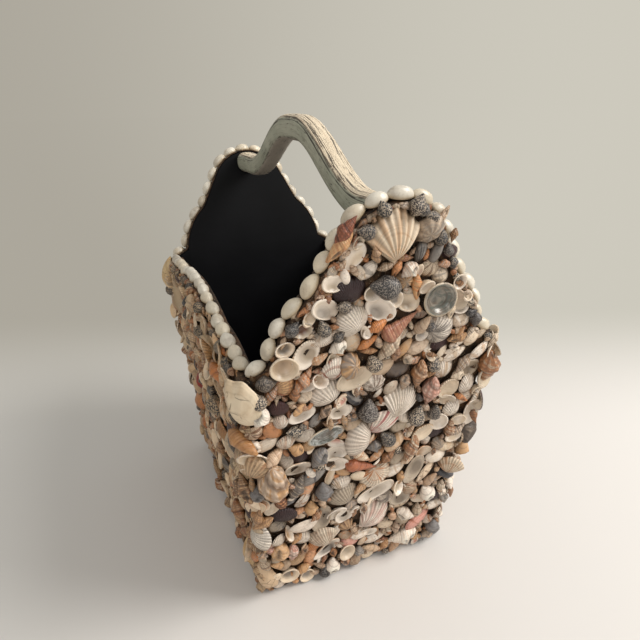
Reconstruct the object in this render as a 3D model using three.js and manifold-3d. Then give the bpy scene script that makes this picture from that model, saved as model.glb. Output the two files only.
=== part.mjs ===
// A shell-covered basket: an open wooden carrier with four walls that lean outwards, gabled ends with a
// painted handle between them, a row of white cowries along every upper edge, and sea shells glued over
// all four outer faces.
//
// Millimetres, +Z up. X runs across the basket and Y along it, with the front end at -Y. The origin is in
// the middle of the underside.

import * as THREE from 'three';
import { mergeVertices } from 'three/addons/utils/BufferGeometryUtils.js';
import Module from 'manifold-3d';

const wasm = await Module();
wasm.setup();

// Box: sizes over the boards
const BASE_WIDTH = 181;
const BASE_LENGTH = 266;
const TOP_WIDTH = 219; // at the height of the four corners
const TOP_LENGTH = 363;
const CORNER_HEIGHT = 272;
const END_BOARD_THICKNESS = 10;
const SIDE_BOARD_THICKNESS = 10;
const BOTTOM_THICKNESS = 10;

// Gable of the end boards: a round hump on straight flanks, then a shoulder and a short shelf on each side
const CREST_RISE = 128; // above the corners
const HUMP_RADIUS = 47;
const FLANK_ANGLE = THREE.MathUtils.degToRad(62); // below the level
const NOTCH_RISE = 62;
const SHOULDER_BULGE = 6;
const SHELF_RISE = 10;
const SHELF_WIDTH = 18;

// Top edge of the side boards: a wide middle lobe between two flat outer lobes
const MIDDLE_LOBE_LENGTH = 168;
const MIDDLE_LOBE_RISE = 18;
const SIDE_NOTCH_RISE = 4;
const OUTER_LOBE_LENGTH = 66;
const OUTER_LOBE_BULGE = 4;
const OUTER_NOTCH_DROP = 3;

// Straight steps in an edge's small lobes and in its middle one
const LOBE_STEPS = 5;
const CREST_STEPS = 10;

// Handle
const HANDLE_WIDTH = 22; // at its crest
const HANDLE_FOOT_WIDTH = 29;
const HANDLE_FLARE = 48; // length of the stretch at each foot that widens
const HANDLE_SWAY = 3.5; // of its crest, towards the left side
const HANDLE_THICKNESS = 22.5;
const HANDLE_EDGE = 5; // rounding of its long edges
const HANDLE_RISE = 50; // its crest above its two feet
const HANDLE_CREST_SHIFT = 18; // of its crest, towards the front
const HANDLE_CREST_HALF = 14; // level stretch on each side of the crest
const HANDLE_BOW_HALF = 150; // from the crest to where a foot is level again
const HANDLE_STEPS = 24;

// Cowries
const COWRIE_LENGTH = 19;
const COWRIE_WIDTH = 13;
const COWRIE_HEIGHT = 9.2;
const COWRIE_SHIFT = 3; // from the middle of the board's thickness outwards
const COWRIE_CLEARANCE = 0.5; // above the board's edge

// Shell covering
const BED_THICKNESS = 8; // of the adhesive
const COVER_OVERHANG = 16; // of the end coverings, past the side boards
const COVER_DROP = 1.2; // its top edge below the board's
const FLOOR_GAP = 1.5; // its bottom edge above the ground
const COVER_DEPTH = 17; // from the board to the top of the highest shell
const SHELL_SPACING = 26; // from the middle of a small shell to the groove round it
const SHELL_SHIFT = 6; // of a shell from its even place
const SHELL_RISE = 8; // of the highest small shell above the bed
const SHELL_LIP = 1.5; // of a large shell above the bed
const SHELL_SINK = 2; // how deep a large shell sits in the bed
const LARGE_SHELL = 40; // the length that the large shells' sizes are shares of
const LEADER_ROOM = 5; // round a large shell, kept free of small shells' middles
const EDGE_FALL = 14; // how far in from the basket's corners the shells reach their full height
const EDGE_LEVEL = 0.3; // their share of it right at a corner

const CLEARANCE = 0.3;
const PATH_STEP = 2; // between the points of a cowrie row's path

// Leans, as the run outwards for each mm of height, and the boards' thickness measured along the ground
const widthLean = (TOP_WIDTH - BASE_WIDTH) / 2 / CORNER_HEIGHT;
const lengthLean = (TOP_LENGTH - BASE_LENGTH) / 2 / CORNER_HEIGHT;
const sideRun = SIDE_BOARD_THICKNESS * Math.hypot(1, widthLean);
const endRun = END_BOARD_THICKNESS * Math.hypot(1, lengthLean);
const halfWidth = (z) => BASE_WIDTH / 2 + widthLean * z;
const halfLength = (z) => BASE_LENGTH / 2 + lengthLean * z;
const crestHeight = CORNER_HEIGHT + CREST_RISE;

// Colours and finishes
const blackPaint = new THREE.MeshStandardMaterial({ color: 0x1b1b1d, roughness: 0.55 });
const agedPaint = new THREE.MeshStandardMaterial({ color: 0xc9c8b2, roughness: 0.6 });
const cowrieShell = new THREE.MeshStandardMaterial({ color: 0xe9e2d2, roughness: 0.3 });
const mixedShell = new THREE.MeshStandardMaterial({ color: 0xc4ae97, roughness: 0.55 });

// Solids

function solidFrom(geometry) {
  const bare = geometry.index ? geometry.clone() : geometry;
  bare.deleteAttribute('normal');
  bare.deleteAttribute('uv');
  const merged = mergeVertices(bare, 1e-4);
  return new wasm.Manifold(
    new wasm.Mesh({
      numProp: 3,
      vertProperties: new Float32Array(merged.attributes.position.array),
      triVerts: new Uint32Array(merged.index.array),
    }),
  );
}

function geometryFrom(solid) {
  const mesh = solid.getMesh();
  const positions = new Float32Array(mesh.numVert * 3);
  for (let i = 0; i < mesh.numVert; i++) {
    const first = i * mesh.numProp;
    positions.set(mesh.vertProperties.subarray(first, first + 3), i * 3);
  }
  const geometry = new THREE.BufferGeometry();
  geometry.setAttribute('position', new THREE.BufferAttribute(positions, 3));
  geometry.setIndex(new THREE.BufferAttribute(new Uint32Array(mesh.triVerts), 1));
  geometry.computeVertexNormals();
  return geometry;
}

const joined = (solids) => solids.reduce((all, next) => all.add(next));

function addPiece(name, solid, material) {
  const piece = new THREE.Mesh(geometryFrom(solid), material);
  piece.name = name;
  basket.add(piece);
}

// A plate whose outline is drawn in (across, z). It stands on the plane at `out` from the middle of the
// basket at ground level, is `run` thick and leans outwards. toWorld maps (across, z, outwards) to x, y, z.
function leaningPlate(outline, out, run, lean, toWorld) {
  const plate = new THREE.ExtrudeGeometry(new THREE.Shape(outline), { depth: run, bevelEnabled: false });
  const shear = new THREE.Matrix4().set(1, 0, 0, 0, 0, 1, 0, 0, 0, lean, 1, out, 0, 0, 0, 1);
  plate.applyMatrix4(shear).applyMatrix4(toWorld);
  return solidFrom(plate);
}

const basis = (across, up, outwards) =>
  new THREE.Matrix4().makeBasis(
    new THREE.Vector3(...across),
    new THREE.Vector3(...up),
    new THREE.Vector3(...outwards),
  );

const FACES = {
  front: basis([1, 0, 0], [0, 0, 1], [0, -1, 0]),
  back: basis([-1, 0, 0], [0, 0, 1], [0, 1, 0]),
  left: basis([0, -1, 0], [0, 0, 1], [-1, 0, 0]),
  right: basis([0, 1, 0], [0, 0, 1], [1, 0, 0]),
};

// Upper edges, as points in (across, z) from the right corner to the left one

// Points of an arc from one point to another that bulges to the right of the way there.
function bow(from, to, bulge, steps) {
  const along = to.clone().sub(from);
  const chord = along.length();
  const aside = new THREE.Vector2(along.y, -along.x).normalize();
  const radius = (chord * chord / 4 + bulge * bulge) / (2 * bulge);
  const centre = from.clone().lerp(to, 0.5).addScaledVector(aside, bulge - radius);
  const start = from.clone().sub(centre).angle();
  let sweep = to.clone().sub(centre).angle() - start;
  if (sweep < 0) sweep += 2 * Math.PI;
  const points = [];
  for (let i = 0; i <= steps; i++) {
    const angle = start + (sweep * i) / steps;
    points.push(new THREE.Vector2(Math.cos(angle), Math.sin(angle)).multiplyScalar(radius).add(centre));
  }
  return points;
}

const mirrored = (points) => points.map((p) => new THREE.Vector2(-p.x, p.y)).reverse();

function withoutRepeats(points) {
  return points.filter((p, i) => i === 0 || p.distanceTo(points[i - 1]) > 1e-3);
}

function gableEdge() {
  const corner = new THREE.Vector2(halfWidth(CORNER_HEIGHT), CORNER_HEIGHT);
  const shelfEnd = new THREE.Vector2(corner.x - SHELF_WIDTH, CORNER_HEIGHT + SHELF_RISE);
  const humpCentre = new THREE.Vector2(0, crestHeight - HUMP_RADIUS);
  const across = Math.sin(FLANK_ANGLE);
  const up = Math.cos(FLANK_ANGLE);
  const flankTop = new THREE.Vector2(across, up).multiplyScalar(HUMP_RADIUS).add(humpCentre);
  const notchHeight = CORNER_HEIGHT + NOTCH_RISE;
  const notch = new THREE.Vector2(flankTop.x + ((flankTop.y - notchHeight) * up) / across, notchHeight);
  const half = [corner, ...bow(shelfEnd, notch, SHOULDER_BULGE, LOBE_STEPS)];
  const humpSag = HUMP_RADIUS * (1 - up);
  const hump = bow(flankTop, new THREE.Vector2(-flankTop.x, flankTop.y), humpSag, CREST_STEPS);
  return withoutRepeats([...half, ...hump, ...mirrored(half)]);
}

function sideEdge(halfSpan) {
  const middle = MIDDLE_LOBE_LENGTH / 2;
  const notch = new THREE.Vector2(middle, CORNER_HEIGHT + SIDE_NOTCH_RISE);
  const outerNotch = new THREE.Vector2(middle + OUTER_LOBE_LENGTH, CORNER_HEIGHT - OUTER_NOTCH_DROP);
  const corner = new THREE.Vector2(halfSpan, CORNER_HEIGHT);
  const half = [corner, ...bow(outerNotch, notch, OUTER_LOBE_BULGE, LOBE_STEPS)];
  const lobeBulge = MIDDLE_LOBE_RISE - SIDE_NOTCH_RISE;
  const lobe = bow(notch, new THREE.Vector2(-middle, notch.y), lobeBulge, CREST_STEPS);
  return withoutRepeats([...half, ...lobe, ...mirrored(half)]);
}

function distanceToPath(point, path) {
  let nearest = Infinity;
  const foot = new THREE.Vector2();
  for (let i = 1; i < path.length; i++) {
    const along = path[i].clone().sub(path[i - 1]);
    const share = point.clone().sub(path[i - 1]).dot(along) / along.lengthSq();
    foot.copy(path[i - 1]).addScaledVector(along, THREE.MathUtils.clamp(share, 0, 1));
    nearest = Math.min(nearest, point.distanceTo(foot));
  }
  return nearest;
}

// The path at a distance above an edge that runs from right to left, without the loops that a plain
// offset makes over a notch.
function pathAbove(edge, distance) {
  const above = [];
  for (let i = 1; i < edge.length; i++) {
    const from = edge[i - 1];
    const to = edge[i];
    const aside = new THREE.Vector2(to.y - from.y, from.x - to.x).normalize();
    const count = Math.max(1, Math.round(from.distanceTo(to) / PATH_STEP));
    for (let k = 0; k <= count; k++) {
      const point = from.clone().lerp(to, k / count).addScaledVector(aside, distance);
      if (distanceToPath(point, edge) > distance - 0.01) above.push(point);
    }
  }
  return withoutRepeats(above);
}

// The edge raised or lowered by a small amount, point by point
const shifted = (edge, rise) => edge.map((p) => new THREE.Vector2(p.x, p.y + rise));

function lengthOf(path) {
  let length = 0;
  for (let i = 1; i < path.length; i++) length += path[i].distanceTo(path[i - 1]);
  return length;
}

// The point at a share of the path's length. Before its start and after its end the path runs on straight.
function pointAlong(path, share) {
  let left = share * lengthOf(path);
  let i = 1;
  while (i < path.length - 1 && left > path[i].distanceTo(path[i - 1])) {
    left -= path[i].distanceTo(path[i - 1]);
    i++;
  }
  const stretch = path[i].distanceTo(path[i - 1]);
  return path[i - 1].clone().lerp(path[i], left / stretch);
}

// Boards

function endBoard(face) {
  const outline = [
    new THREE.Vector2(-halfWidth(0), 0),
    new THREE.Vector2(halfWidth(0), 0),
    ...gableEdge(),
  ];
  return leaningPlate(outline, halfLength(0) - endRun, endRun, lengthLean, FACES[face]);
}

const sideSpan = (z) => halfLength(z) - endRun - CLEARANCE;

function sideBoard(face) {
  const outline = [
    new THREE.Vector2(-sideSpan(0), 0),
    new THREE.Vector2(sideSpan(0), 0),
    ...sideEdge(sideSpan(CORNER_HEIGHT)),
  ];
  return leaningPlate(outline, halfWidth(0) - sideRun, sideRun, widthLean, FACES[face]);
}

// A block that fills the box between heights, at a clearance from the inside of the boards
function insideBlock(bottom, top, clearance) {
  const block = new THREE.BoxGeometry(2, 2, top - bottom);
  block.translate(0, 0, (top + bottom) / 2);
  const position = block.attributes.position;
  for (let i = 0; i < position.count; i++) {
    const z = position.getZ(i);
    position.setX(i, position.getX(i) * (halfWidth(z) - sideRun - clearance));
    position.setY(i, position.getY(i) * (halfLength(z) - endRun - clearance));
  }
  return solidFrom(block);
}

// Handle: its top lies level with the gables' crest at both feet

const footHeight = crestHeight - HANDLE_THICKNESS / 2;

function handleHeight(y) {
  const fromCrest = Math.abs(y + HANDLE_CREST_SHIFT) - HANDLE_CREST_HALF;
  const share = THREE.MathUtils.clamp(fromCrest / (HANDLE_BOW_HALF - HANDLE_CREST_HALF), 0, 1);
  return footHeight + (HANDLE_RISE * (1 + Math.cos(Math.PI * share))) / 2;
}

function roundedSection(width, height, rounding) {
  const section = new THREE.Shape();
  const x = width / 2 - rounding;
  const y = height / 2 - rounding;
  section.absarc(x, y, rounding, 0, Math.PI / 2);
  section.absarc(-x, y, rounding, Math.PI / 2, Math.PI);
  section.absarc(-x, -y, rounding, Math.PI, 1.5 * Math.PI);
  section.absarc(x, -y, rounding, 1.5 * Math.PI, 2 * Math.PI);
  return section;
}

class HandleLine extends THREE.Curve {
  getPoint(t, target = new THREE.Vector3()) {
    const reach = halfLength(crestHeight);
    const y = THREE.MathUtils.lerp(-reach, reach, t);
    return target.set(0, y, handleHeight(y));
  }
}

function handle() {
  const rounding = Math.min(HANDLE_EDGE, HANDLE_THICKNESS / 2 - 1, HANDLE_WIDTH / 2 - 1);
  // The path's frame starts with its first axis along Z, so the section's width is its second side.
  const bar = new THREE.ExtrudeGeometry(roundedSection(HANDLE_THICKNESS, HANDLE_WIDTH, rounding), {
    steps: HANDLE_STEPS,
    curveSegments: 1,
    extrudePath: new HandleLine(),
  });
  const reach = halfLength(footHeight) - endRun;
  const position = bar.attributes.position;
  for (let i = 0; i < position.count; i++) {
    const toFoot = (reach - Math.abs(position.getY(i))) / HANDLE_FLARE;
    const flare = THREE.MathUtils.clamp(1 - toFoot, 0, 1) ** 2;
    const widening = THREE.MathUtils.lerp(1, HANDLE_FOOT_WIDTH / HANDLE_WIDTH, flare);
    position.setX(i, position.getX(i) * widening - HANDLE_SWAY * (1 - flare));
  }
  const between = insideBlock(CORNER_HEIGHT, footHeight + HANDLE_RISE + HANDLE_THICKNESS, CLEARANCE);
  return solidFrom(bar).intersect(between);
}

// Cowrie rows

// A closed skin over rings of equally many points, each given as [x, y, z], closed flat at both ends
function skinOver(rings) {
  const sides = rings[0].length;
  const faces = [];
  const last = (rings.length - 1) * sides;
  for (let r = 0; r < last; r += sides) {
    for (let i = 0; i < sides; i++) {
      const next = (i + 1) % sides;
      faces.push(r + i, r + next, r + sides + next, r + i, r + sides + next, r + sides + i);
    }
  }
  for (let i = 1; i < sides - 1; i++) faces.push(0, i + 1, i, last, last + i, last + i + 1);
  const skin = new THREE.BufferGeometry();
  skin.setAttribute('position', new THREE.Float32BufferAttribute(rings.flat(2), 3));
  skin.setIndex(faces);
  return skin;
}

// One cowrie's cross-section, flat below, as shares of its width and height
const COWRIE_SECTION = [[0.5, -0.05], [0, 0.5], [-0.5, -0.05], [-0.34, -0.5], [0.34, -0.5]];
// Its girth along the shell, from one tip to the next shell's, as shares of the full section
const COWRIE_GIRTHS = [0.42, 1, 1];
const COWRIE_STATIONS = [0, 0.27, 0.73];

// A row along an edge drawn in (across, z), on a board whose middle leans away at `out` from the centre.
// The shells meet tip to tip, so the whole row is one skin.
function cowrieRow(edge, out, lean, toWorld) {
  const path = pathAbove(edge, COWRIE_HEIGHT / 2 + COWRIE_CLEARANCE);
  const count = Math.max(2, Math.round(lengthOf(path) / COWRIE_LENGTH));
  const shear = new THREE.Matrix4().set(1, 0, 0, 0, 0, 1, 0, 0, 0, lean, 1, out, 0, 0, 0, 1);
  const stations = [];
  for (let i = 0; i < count; i++) {
    COWRIE_STATIONS.forEach((station, k) => {
      stations.push({ at: (i + station) / count, girth: COWRIE_GIRTHS[k] });
    });
  }
  stations.push({ at: 1, girth: COWRIE_GIRTHS[0] });
  const rings = stations.map(({ at, girth }) => {
    const centre = pointAlong(path, at);
    const before = pointAlong(path, at - 0.01);
    const along = pointAlong(path, at + 0.01).sub(before).normalize();
    return COWRIE_SECTION.map(([side, up]) => {
      const rise = up * girth * COWRIE_HEIGHT;
      return [centre.x + along.y * rise, centre.y - along.x * rise, side * girth * COWRIE_WIDTH];
    });
  });
  return solidFrom(skinOver(rings).applyMatrix4(shear).applyMatrix4(toWorld));
}

const endCowries = (face) =>
  cowrieRow(gableEdge(), halfLength(0) - endRun / 2 + COWRIE_SHIFT, lengthLean, FACES[face]);

// The side rows stop where the end rows begin.
function sideCowries(face) {
  const overhang = Math.max(0, (COWRIE_WIDTH - endRun) / 2 - COWRIE_SHIFT);
  const span = sideSpan(CORNER_HEIGHT) - overhang - CLEARANCE;
  return cowrieRow(sideEdge(span), halfWidth(0) - sideRun / 2 + COWRIE_SHIFT, widthLean, FACES[face]);
}

// Shell covering

// Random numbers that come out the same each time
function seeded(seed) {
  let state = seed;
  return () => {
    state = (state * 1664525 + 1013904223) % 4294967296;
    return state / 4294967296;
  };
}

// A shell lies in its own frame, length along x and back towards z. Its outline stands straight up from
// below the bed to the lip, and the back rises over it to a crown and a top.
function mound(outline, { lip, crown, crownHeight, top, topHeight }) {
  const ring = (share, z, shift) => outline.map(([x, y]) => [x * share + shift, y * share, z]);
  const rings = [ring(1, -SHELL_SINK, 0), ring(1, lip, 0)];
  if (crown) rings.push(ring(crown, crownHeight, top / 2));
  rings.push(ring(0, topHeight, top));
  return skinOver(rings);
}

function oval(size, width, sides) {
  const points = [];
  for (let i = 0; i < sides; i++) {
    const angle = (2 * Math.PI * i) / sides;
    points.push([(Math.cos(angle) * size) / 2, (Math.sin(angle) * size * width) / 2]);
  }
  return points;
}

const cockle = (size) =>
  mound(oval(size, 0.85, 6), {
    lip: SHELL_LIP, crown: 0.66, crownHeight: size * 0.17, top: -size * 0.12, topHeight: size * 0.22,
  });

const limpet = (size) => mound(oval(size * 0.8, 0.9, 6), { lip: SHELL_LIP, top: 0, topHeight: size * 0.2 });

const openValve = (size) => mound(oval(size * 0.9, 0.8, 7), { lip: size * 0.18, top: 0, topHeight: SHELL_LIP });

const spire = (size) => {
  const half = size / 2;
  const belly = size * 0.2;
  const outline = [[half, 0], [0, belly], [-half * 0.7, belly], [-half, 0], [-half * 0.7, -belly], [0, -belly]];
  return mound(outline, { lip: SHELL_LIP, top: -half * 0.35, topHeight: size * 0.22 });
};

// A scallop's fan: the rim and the ribs run out from the hinge, every second point in a groove.
const fan = (size) => {
  const ribs = 7;
  const spread = THREE.MathUtils.degToRad(140);
  const outline = [[-size / 2, -size * 0.06], [-size / 2, size * 0.06]].reverse();
  const steps = ribs * 2;
  for (let i = 0; i <= steps; i++) {
    const angle = spread * (i / steps - 0.5);
    const reach = size * (i % 2 ? 0.92 : 1) * (0.8 + 0.2 * Math.cos(angle));
    outline.push([Math.cos(angle) * reach - size / 2, Math.sin(angle) * reach * 0.62]);
  }
  return mound(outline, {
    lip: SHELL_LIP, crown: 0.55, crownHeight: size * 0.16, top: -size * 0.2, topHeight: size * 0.17,
  });
};

const KINDS = { cockle, spire, limpet, openValve, fan };

// Large shells that stand out. A place across is a share of the half width at that height, and a place up
// is a share of the gable's height on the ends and of the corners' height on the sides. A size is a share of
// LARGE_SHELL.
const LEADERS = {
  front: [
    { kind: 'fan', across: 0, up: 0.90, size: 1.15, turn: 1.6 },
    { kind: 'openValve', across: 0.38, up: 0.79, size: 0.9, turn: 0 },
    { kind: 'cockle', across: -0.27, up: 0.78, size: 0.8, turn: 0.5 },
    { kind: 'fan', across: 0.24, up: 0.54, size: 0.95, turn: 1.2 },
    { kind: 'openValve', across: -0.39, up: 0.51, size: 0.8, turn: 0.4 },
    { kind: 'spire', across: -0.90, up: 0.40, size: 1.1, turn: 1.5 },
    { kind: 'limpet', across: 0.60, up: 0.29, size: 0.95, turn: 0.2 },
    { kind: 'cockle', across: -0.89, up: 0.61, size: 1.15, turn: 1.4 },
    { kind: 'spire', across: -0.13, up: 0.39, size: 0.95, turn: 0.1 },
  ],
  back: [
    { kind: 'fan', across: -0.11, up: 0.82, size: 1.1, turn: 1.4 },
    { kind: 'cockle', across: 0.48, up: 0.66, size: 0.95, turn: 0.8 },
    { kind: 'openValve', across: -0.56, up: 0.56, size: 0.9, turn: 2.2 },
    { kind: 'spire', across: 0.17, up: 0.45, size: 1.05, turn: 0.6 },
    { kind: 'limpet', across: -0.39, up: 0.26, size: 0.9, turn: 0 },
    { kind: 'fan', across: 0.62, up: 0.23, size: 0.9, turn: 2.6 },
  ],
  left: [
    { kind: 'cockle', across: -0.86, up: 0.87, size: 1.1, turn: 1.5 },
    { kind: 'openValve', across: 0.41, up: 0.77, size: 0.9, turn: 1 },
    { kind: 'spire', across: 0.73, up: 0.59, size: 1.1, turn: 2 },
    { kind: 'fan', across: -0.20, up: 0.85, size: 1, turn: 1.7 },
    { kind: 'limpet', across: 0.07, up: 0.34, size: 0.9, turn: 0.5 },
    { kind: 'cockle', across: -0.59, up: 0.45, size: 0.95, turn: 2.4 },
  ],
  right: [
    { kind: 'fan', across: 0.56, up: 0.82, size: 1.05, turn: 1.3 },
    { kind: 'spire', across: -0.69, up: 0.83, size: 1.15, turn: 1.9 },
    { kind: 'openValve', across: 0.04, up: 0.68, size: 0.95, turn: 0.3 },
    { kind: 'cockle', across: -0.41, up: 0.48, size: 1, turn: 1.1 },
    { kind: 'limpet', across: 0.59, up: 0.32, size: 0.9, turn: 0 },
    { kind: 'spire', across: 0.24, up: 0.21, size: 1, turn: 0.4 },
  ],
};

// Small shells: the height of the lip and of the middle of the back, as shares of SHELL_RISE, and how far
// the lip reaches towards the neighbours, along the shell and across it
const SMALL_SHELLS = [
  { lip: 0.33, back: 0.93, along: 0.86, across: 0.8 }, // cockle, back up
  { lip: 0.3, back: 1, along: 0.88, across: 0.42 }, // spire on its side
  { lip: 0.7, back: 0.2, along: 0.84, across: 0.78 }, // valve, hollow up
  { lip: 0.2, back: 0.95, along: 0.8, across: 0.8 }, // limpet
];

// The small shells over a face: a net of triangles in which every third point is the middle of a shell, and
// the six points round it are in the grooves between it and its neighbours. levelAt(x, z) is 0 where the
// net stays flat for a large shell or the basket's corner, and 1 where shells stand at their full height.
function shellNet(width, top, random, levelAt) {
  const rowHeight = SHELL_SPACING * Math.sqrt(0.75);
  const columns = 2 * Math.ceil(width / 2 / SHELL_SPACING) + 2;
  const rows = Math.ceil(top / rowHeight) + 2;
  const points = [];
  const middles = new Map();
  for (let row = 0; row < rows; row++) {
    for (let column = 0; column < columns; column++) {
      const x = (column - (columns - 1) / 2 + (row % 2) / 2) * SHELL_SPACING + (random() - 0.5) * SHELL_SHIFT;
      const z = (row - 1) * rowHeight + (random() - 0.5) * SHELL_SHIFT;
      const onRim = row === 0 || row === rows - 1 || column === 0 || column === columns - 1;
      const level = onRim ? 0 : levelAt(x, z);
      const isMiddle = (column + 2 * (row % 2)) % 3 === 0;
      const shell = SMALL_SHELLS[Math.floor(random() * SMALL_SHELLS.length)];
      const turn = random() * Math.PI;
      if (isMiddle) middles.set(points.length, { ...shell, turn, level });
      points.push([x, z, BED_THICKNESS + (isMiddle ? level * shell.back * SHELL_RISE : 0)]);
    }
  }
  const under = points.length;
  for (let i = 0; i < under; i++) points.push([points[i][0], points[i][1], -BED_THICKNESS]);

  const lips = new Map();
  const lipPoint = (middle, corner) => {
    const key = `${middle} ${corner}`;
    if (!lips.has(key)) {
      const [x, z] = points[middle];
      const [cornerX, cornerZ] = points[corner];
      const { turn, lip, along, across, level } = middles.get(middle);
      const aside = Math.abs(Math.sin(Math.atan2(cornerZ - z, cornerX - x) - turn));
      const reach = THREE.MathUtils.lerp(along, across, aside);
      lips.set(key, points.length);
      points.push([x + (cornerX - x) * reach, z + (cornerZ - z) * reach, BED_THICKNESS + lip * level * SHELL_RISE]);
    }
    return lips.get(key);
  };
  const faces = [];
  const cell = (a, b, c) => {
    faces.push(under + a, under + c, under + b);
    while (!middles.has(a)) [a, b, c] = [b, c, a];
    if (!middles.get(a).level) {
      faces.push(a, b, c);
    } else {
      const lipB = lipPoint(a, b);
      const lipC = lipPoint(a, c);
      faces.push(a, lipB, lipC, lipB, b, c, lipB, c, lipC);
    }
  };
  for (let row = 0; row < rows - 1; row++) {
    for (let column = 0; column < columns - 1; column++) {
      const here = row * columns + column;
      const above = here + columns;
      if (row % 2) {
        cell(here, here + 1, above + 1);
        cell(here, above + 1, above);
      } else {
        cell(here, here + 1, above);
        cell(here + 1, above + 1, above);
      }
    }
  }
  return netSolid(points, faces, rows, columns, under);
}

// Closes the net's sides, which run down from its outer points to the ones under them
function netSolid(points, faces, rows, columns, under) {
  const rim = [];
  for (let column = 0; column < columns - 1; column++) rim.push(column);
  for (let row = 0; row < rows - 1; row++) rim.push(row * columns + columns - 1);
  for (let column = columns - 1; column > 0; column--) rim.push((rows - 1) * columns + column);
  for (let row = rows - 1; row > 0; row--) rim.push(row * columns);
  rim.forEach((from, i) => {
    const to = rim[(i + 1) % rim.length];
    faces.push(from, under + from, under + to, from, under + to, to);
  });
  const net = new THREE.BufferGeometry();
  net.setAttribute('position', new THREE.Float32BufferAttribute(points.flat(), 3));
  net.setIndex(faces);
  return net;
}

// One face's covering: a bed of small shells, cut to the face's outline, and large ones on it
function covering({ face, outline, halfSpan, height, edgeDistance, out, lean, seed }) {
  const toWorld = FACES[face];
  const random = seeded(seed);
  const slope = Math.hypot(1, lean);
  const leaders = LEADERS[face].map((leader) => {
    const z = leader.up * height;
    return { ...leader, z, x: leader.across * halfSpan(z), size: leader.size * LARGE_SHELL };
  });
  const levelAt = (x, z) => {
    const underLarge = leaders.some((l) => Math.hypot(l.x - x, l.z - z) < l.size / 2 + LEADER_ROOM);
    return underLarge ? 0 : THREE.MathUtils.clamp(edgeDistance(x, z) / EDGE_FALL, EDGE_LEVEL, 1);
  };
  const width = 2 * Math.max(...outline.map((p) => p.x));
  const top = Math.max(...outline.map((p) => p.y));
  const net = shellNet(width, top, random, levelAt);
  const shear = new THREE.Matrix4().set(1, 0, 0, 0, 0, 1, 0, 0, 0, lean, slope, out, 0, 0, 0, 1);
  const bed = solidFrom(net.applyMatrix4(shear).applyMatrix4(toWorld));
  const envelope = leaningPlate(outline, out + CLEARANCE, COVER_DEPTH - CLEARANCE, lean, toWorld);
  const tilt = new THREE.Matrix4().makeBasis(
    new THREE.Vector3(1, 0, 0),
    new THREE.Vector3(0, 1, lean).normalize(),
    new THREE.Vector3(0, -lean, 1).normalize(),
  );
  const large = leaders.map(({ kind, x, z, size, turn }) => {
    const shell = KINDS[kind](size).rotateZ(turn).applyMatrix4(tilt);
    shell.translate(x, z, out + BED_THICKNESS * slope + lean * z);
    return solidFrom(shell.applyMatrix4(toWorld));
  });
  return joined([bed, ...large]).intersect(envelope);
}

// The end coverings run past the side coverings, whose ends they hide.
function endCovering(face, seed) {
  const wide = (z) => halfWidth(z) + COVER_OVERHANG;
  const top = shifted(gableEdge(), -COVER_DROP);
  const outline = [
    new THREE.Vector2(-wide(FLOOR_GAP), FLOOR_GAP),
    new THREE.Vector2(wide(FLOOR_GAP), FLOOR_GAP),
    new THREE.Vector2(wide(top[0].y), top[0].y),
    ...top,
    new THREE.Vector2(-wide(top[0].y), top[0].y),
  ];
  const edgeDistance = (x, z) => wide(z) - Math.abs(x);
  const place = { halfSpan: halfWidth, height: crestHeight, out: halfLength(0), lean: lengthLean };
  return covering({ face, outline, edgeDistance, seed, ...place });
}

function sideCovering(face, seed) {
  const top = shifted(sideEdge(halfLength(CORNER_HEIGHT)), -COVER_DROP);
  const outline = [
    new THREE.Vector2(-halfLength(FLOOR_GAP), FLOOR_GAP),
    new THREE.Vector2(halfLength(FLOOR_GAP), FLOOR_GAP),
    ...top,
  ];
  const edgeDistance = () => Infinity;
  const place = { halfSpan: halfLength, height: CORNER_HEIGHT, out: halfWidth(0), lean: widthLean };
  return covering({ face, outline, edgeDistance, seed, ...place });
}

// Assembly

const basket = new THREE.Group();
basket.name = 'shell_covered_basket';

addPiece('bottom_board', insideBlock(0, BOTTOM_THICKNESS, CLEARANCE), blackPaint);
addPiece('handle', handle(), agedPaint);
addPiece('shells_front', endCovering('front', 11), mixedShell);
addPiece('shells_back', endCovering('back', 23), mixedShell);
for (const face of ['front', 'back']) {
  addPiece(`end_board_${face}`, endBoard(face), blackPaint);
  addPiece(`cowries_${face}`, endCowries(face), cowrieShell);
}
for (const [face, seed] of [['left', 37], ['right', 53]]) {
  addPiece(`side_board_${face}`, sideBoard(face), blackPaint);
  addPiece(`cowries_${face}`, sideCowries(face), cowrieShell);
  addPiece(`shells_${face}`, sideCovering(face, seed), mixedShell);
}

export default basket;
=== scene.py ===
# %% [markdown]
# # A basket covered in sea shells
# The basket is a small wooden carrier: four leaning boards painted black inside, a carved and
# painted handle, a row of cowries along every upper edge, and hundreds of sea shells glued over
# the four outer faces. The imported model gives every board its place. This lesson grows the
# shells on it one by one, as the maker did: large ones first, small ones in the gaps.

# %% Load the frame
import math
import bpy
import numpy as np
from mathutils import Matrix, Vector

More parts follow.
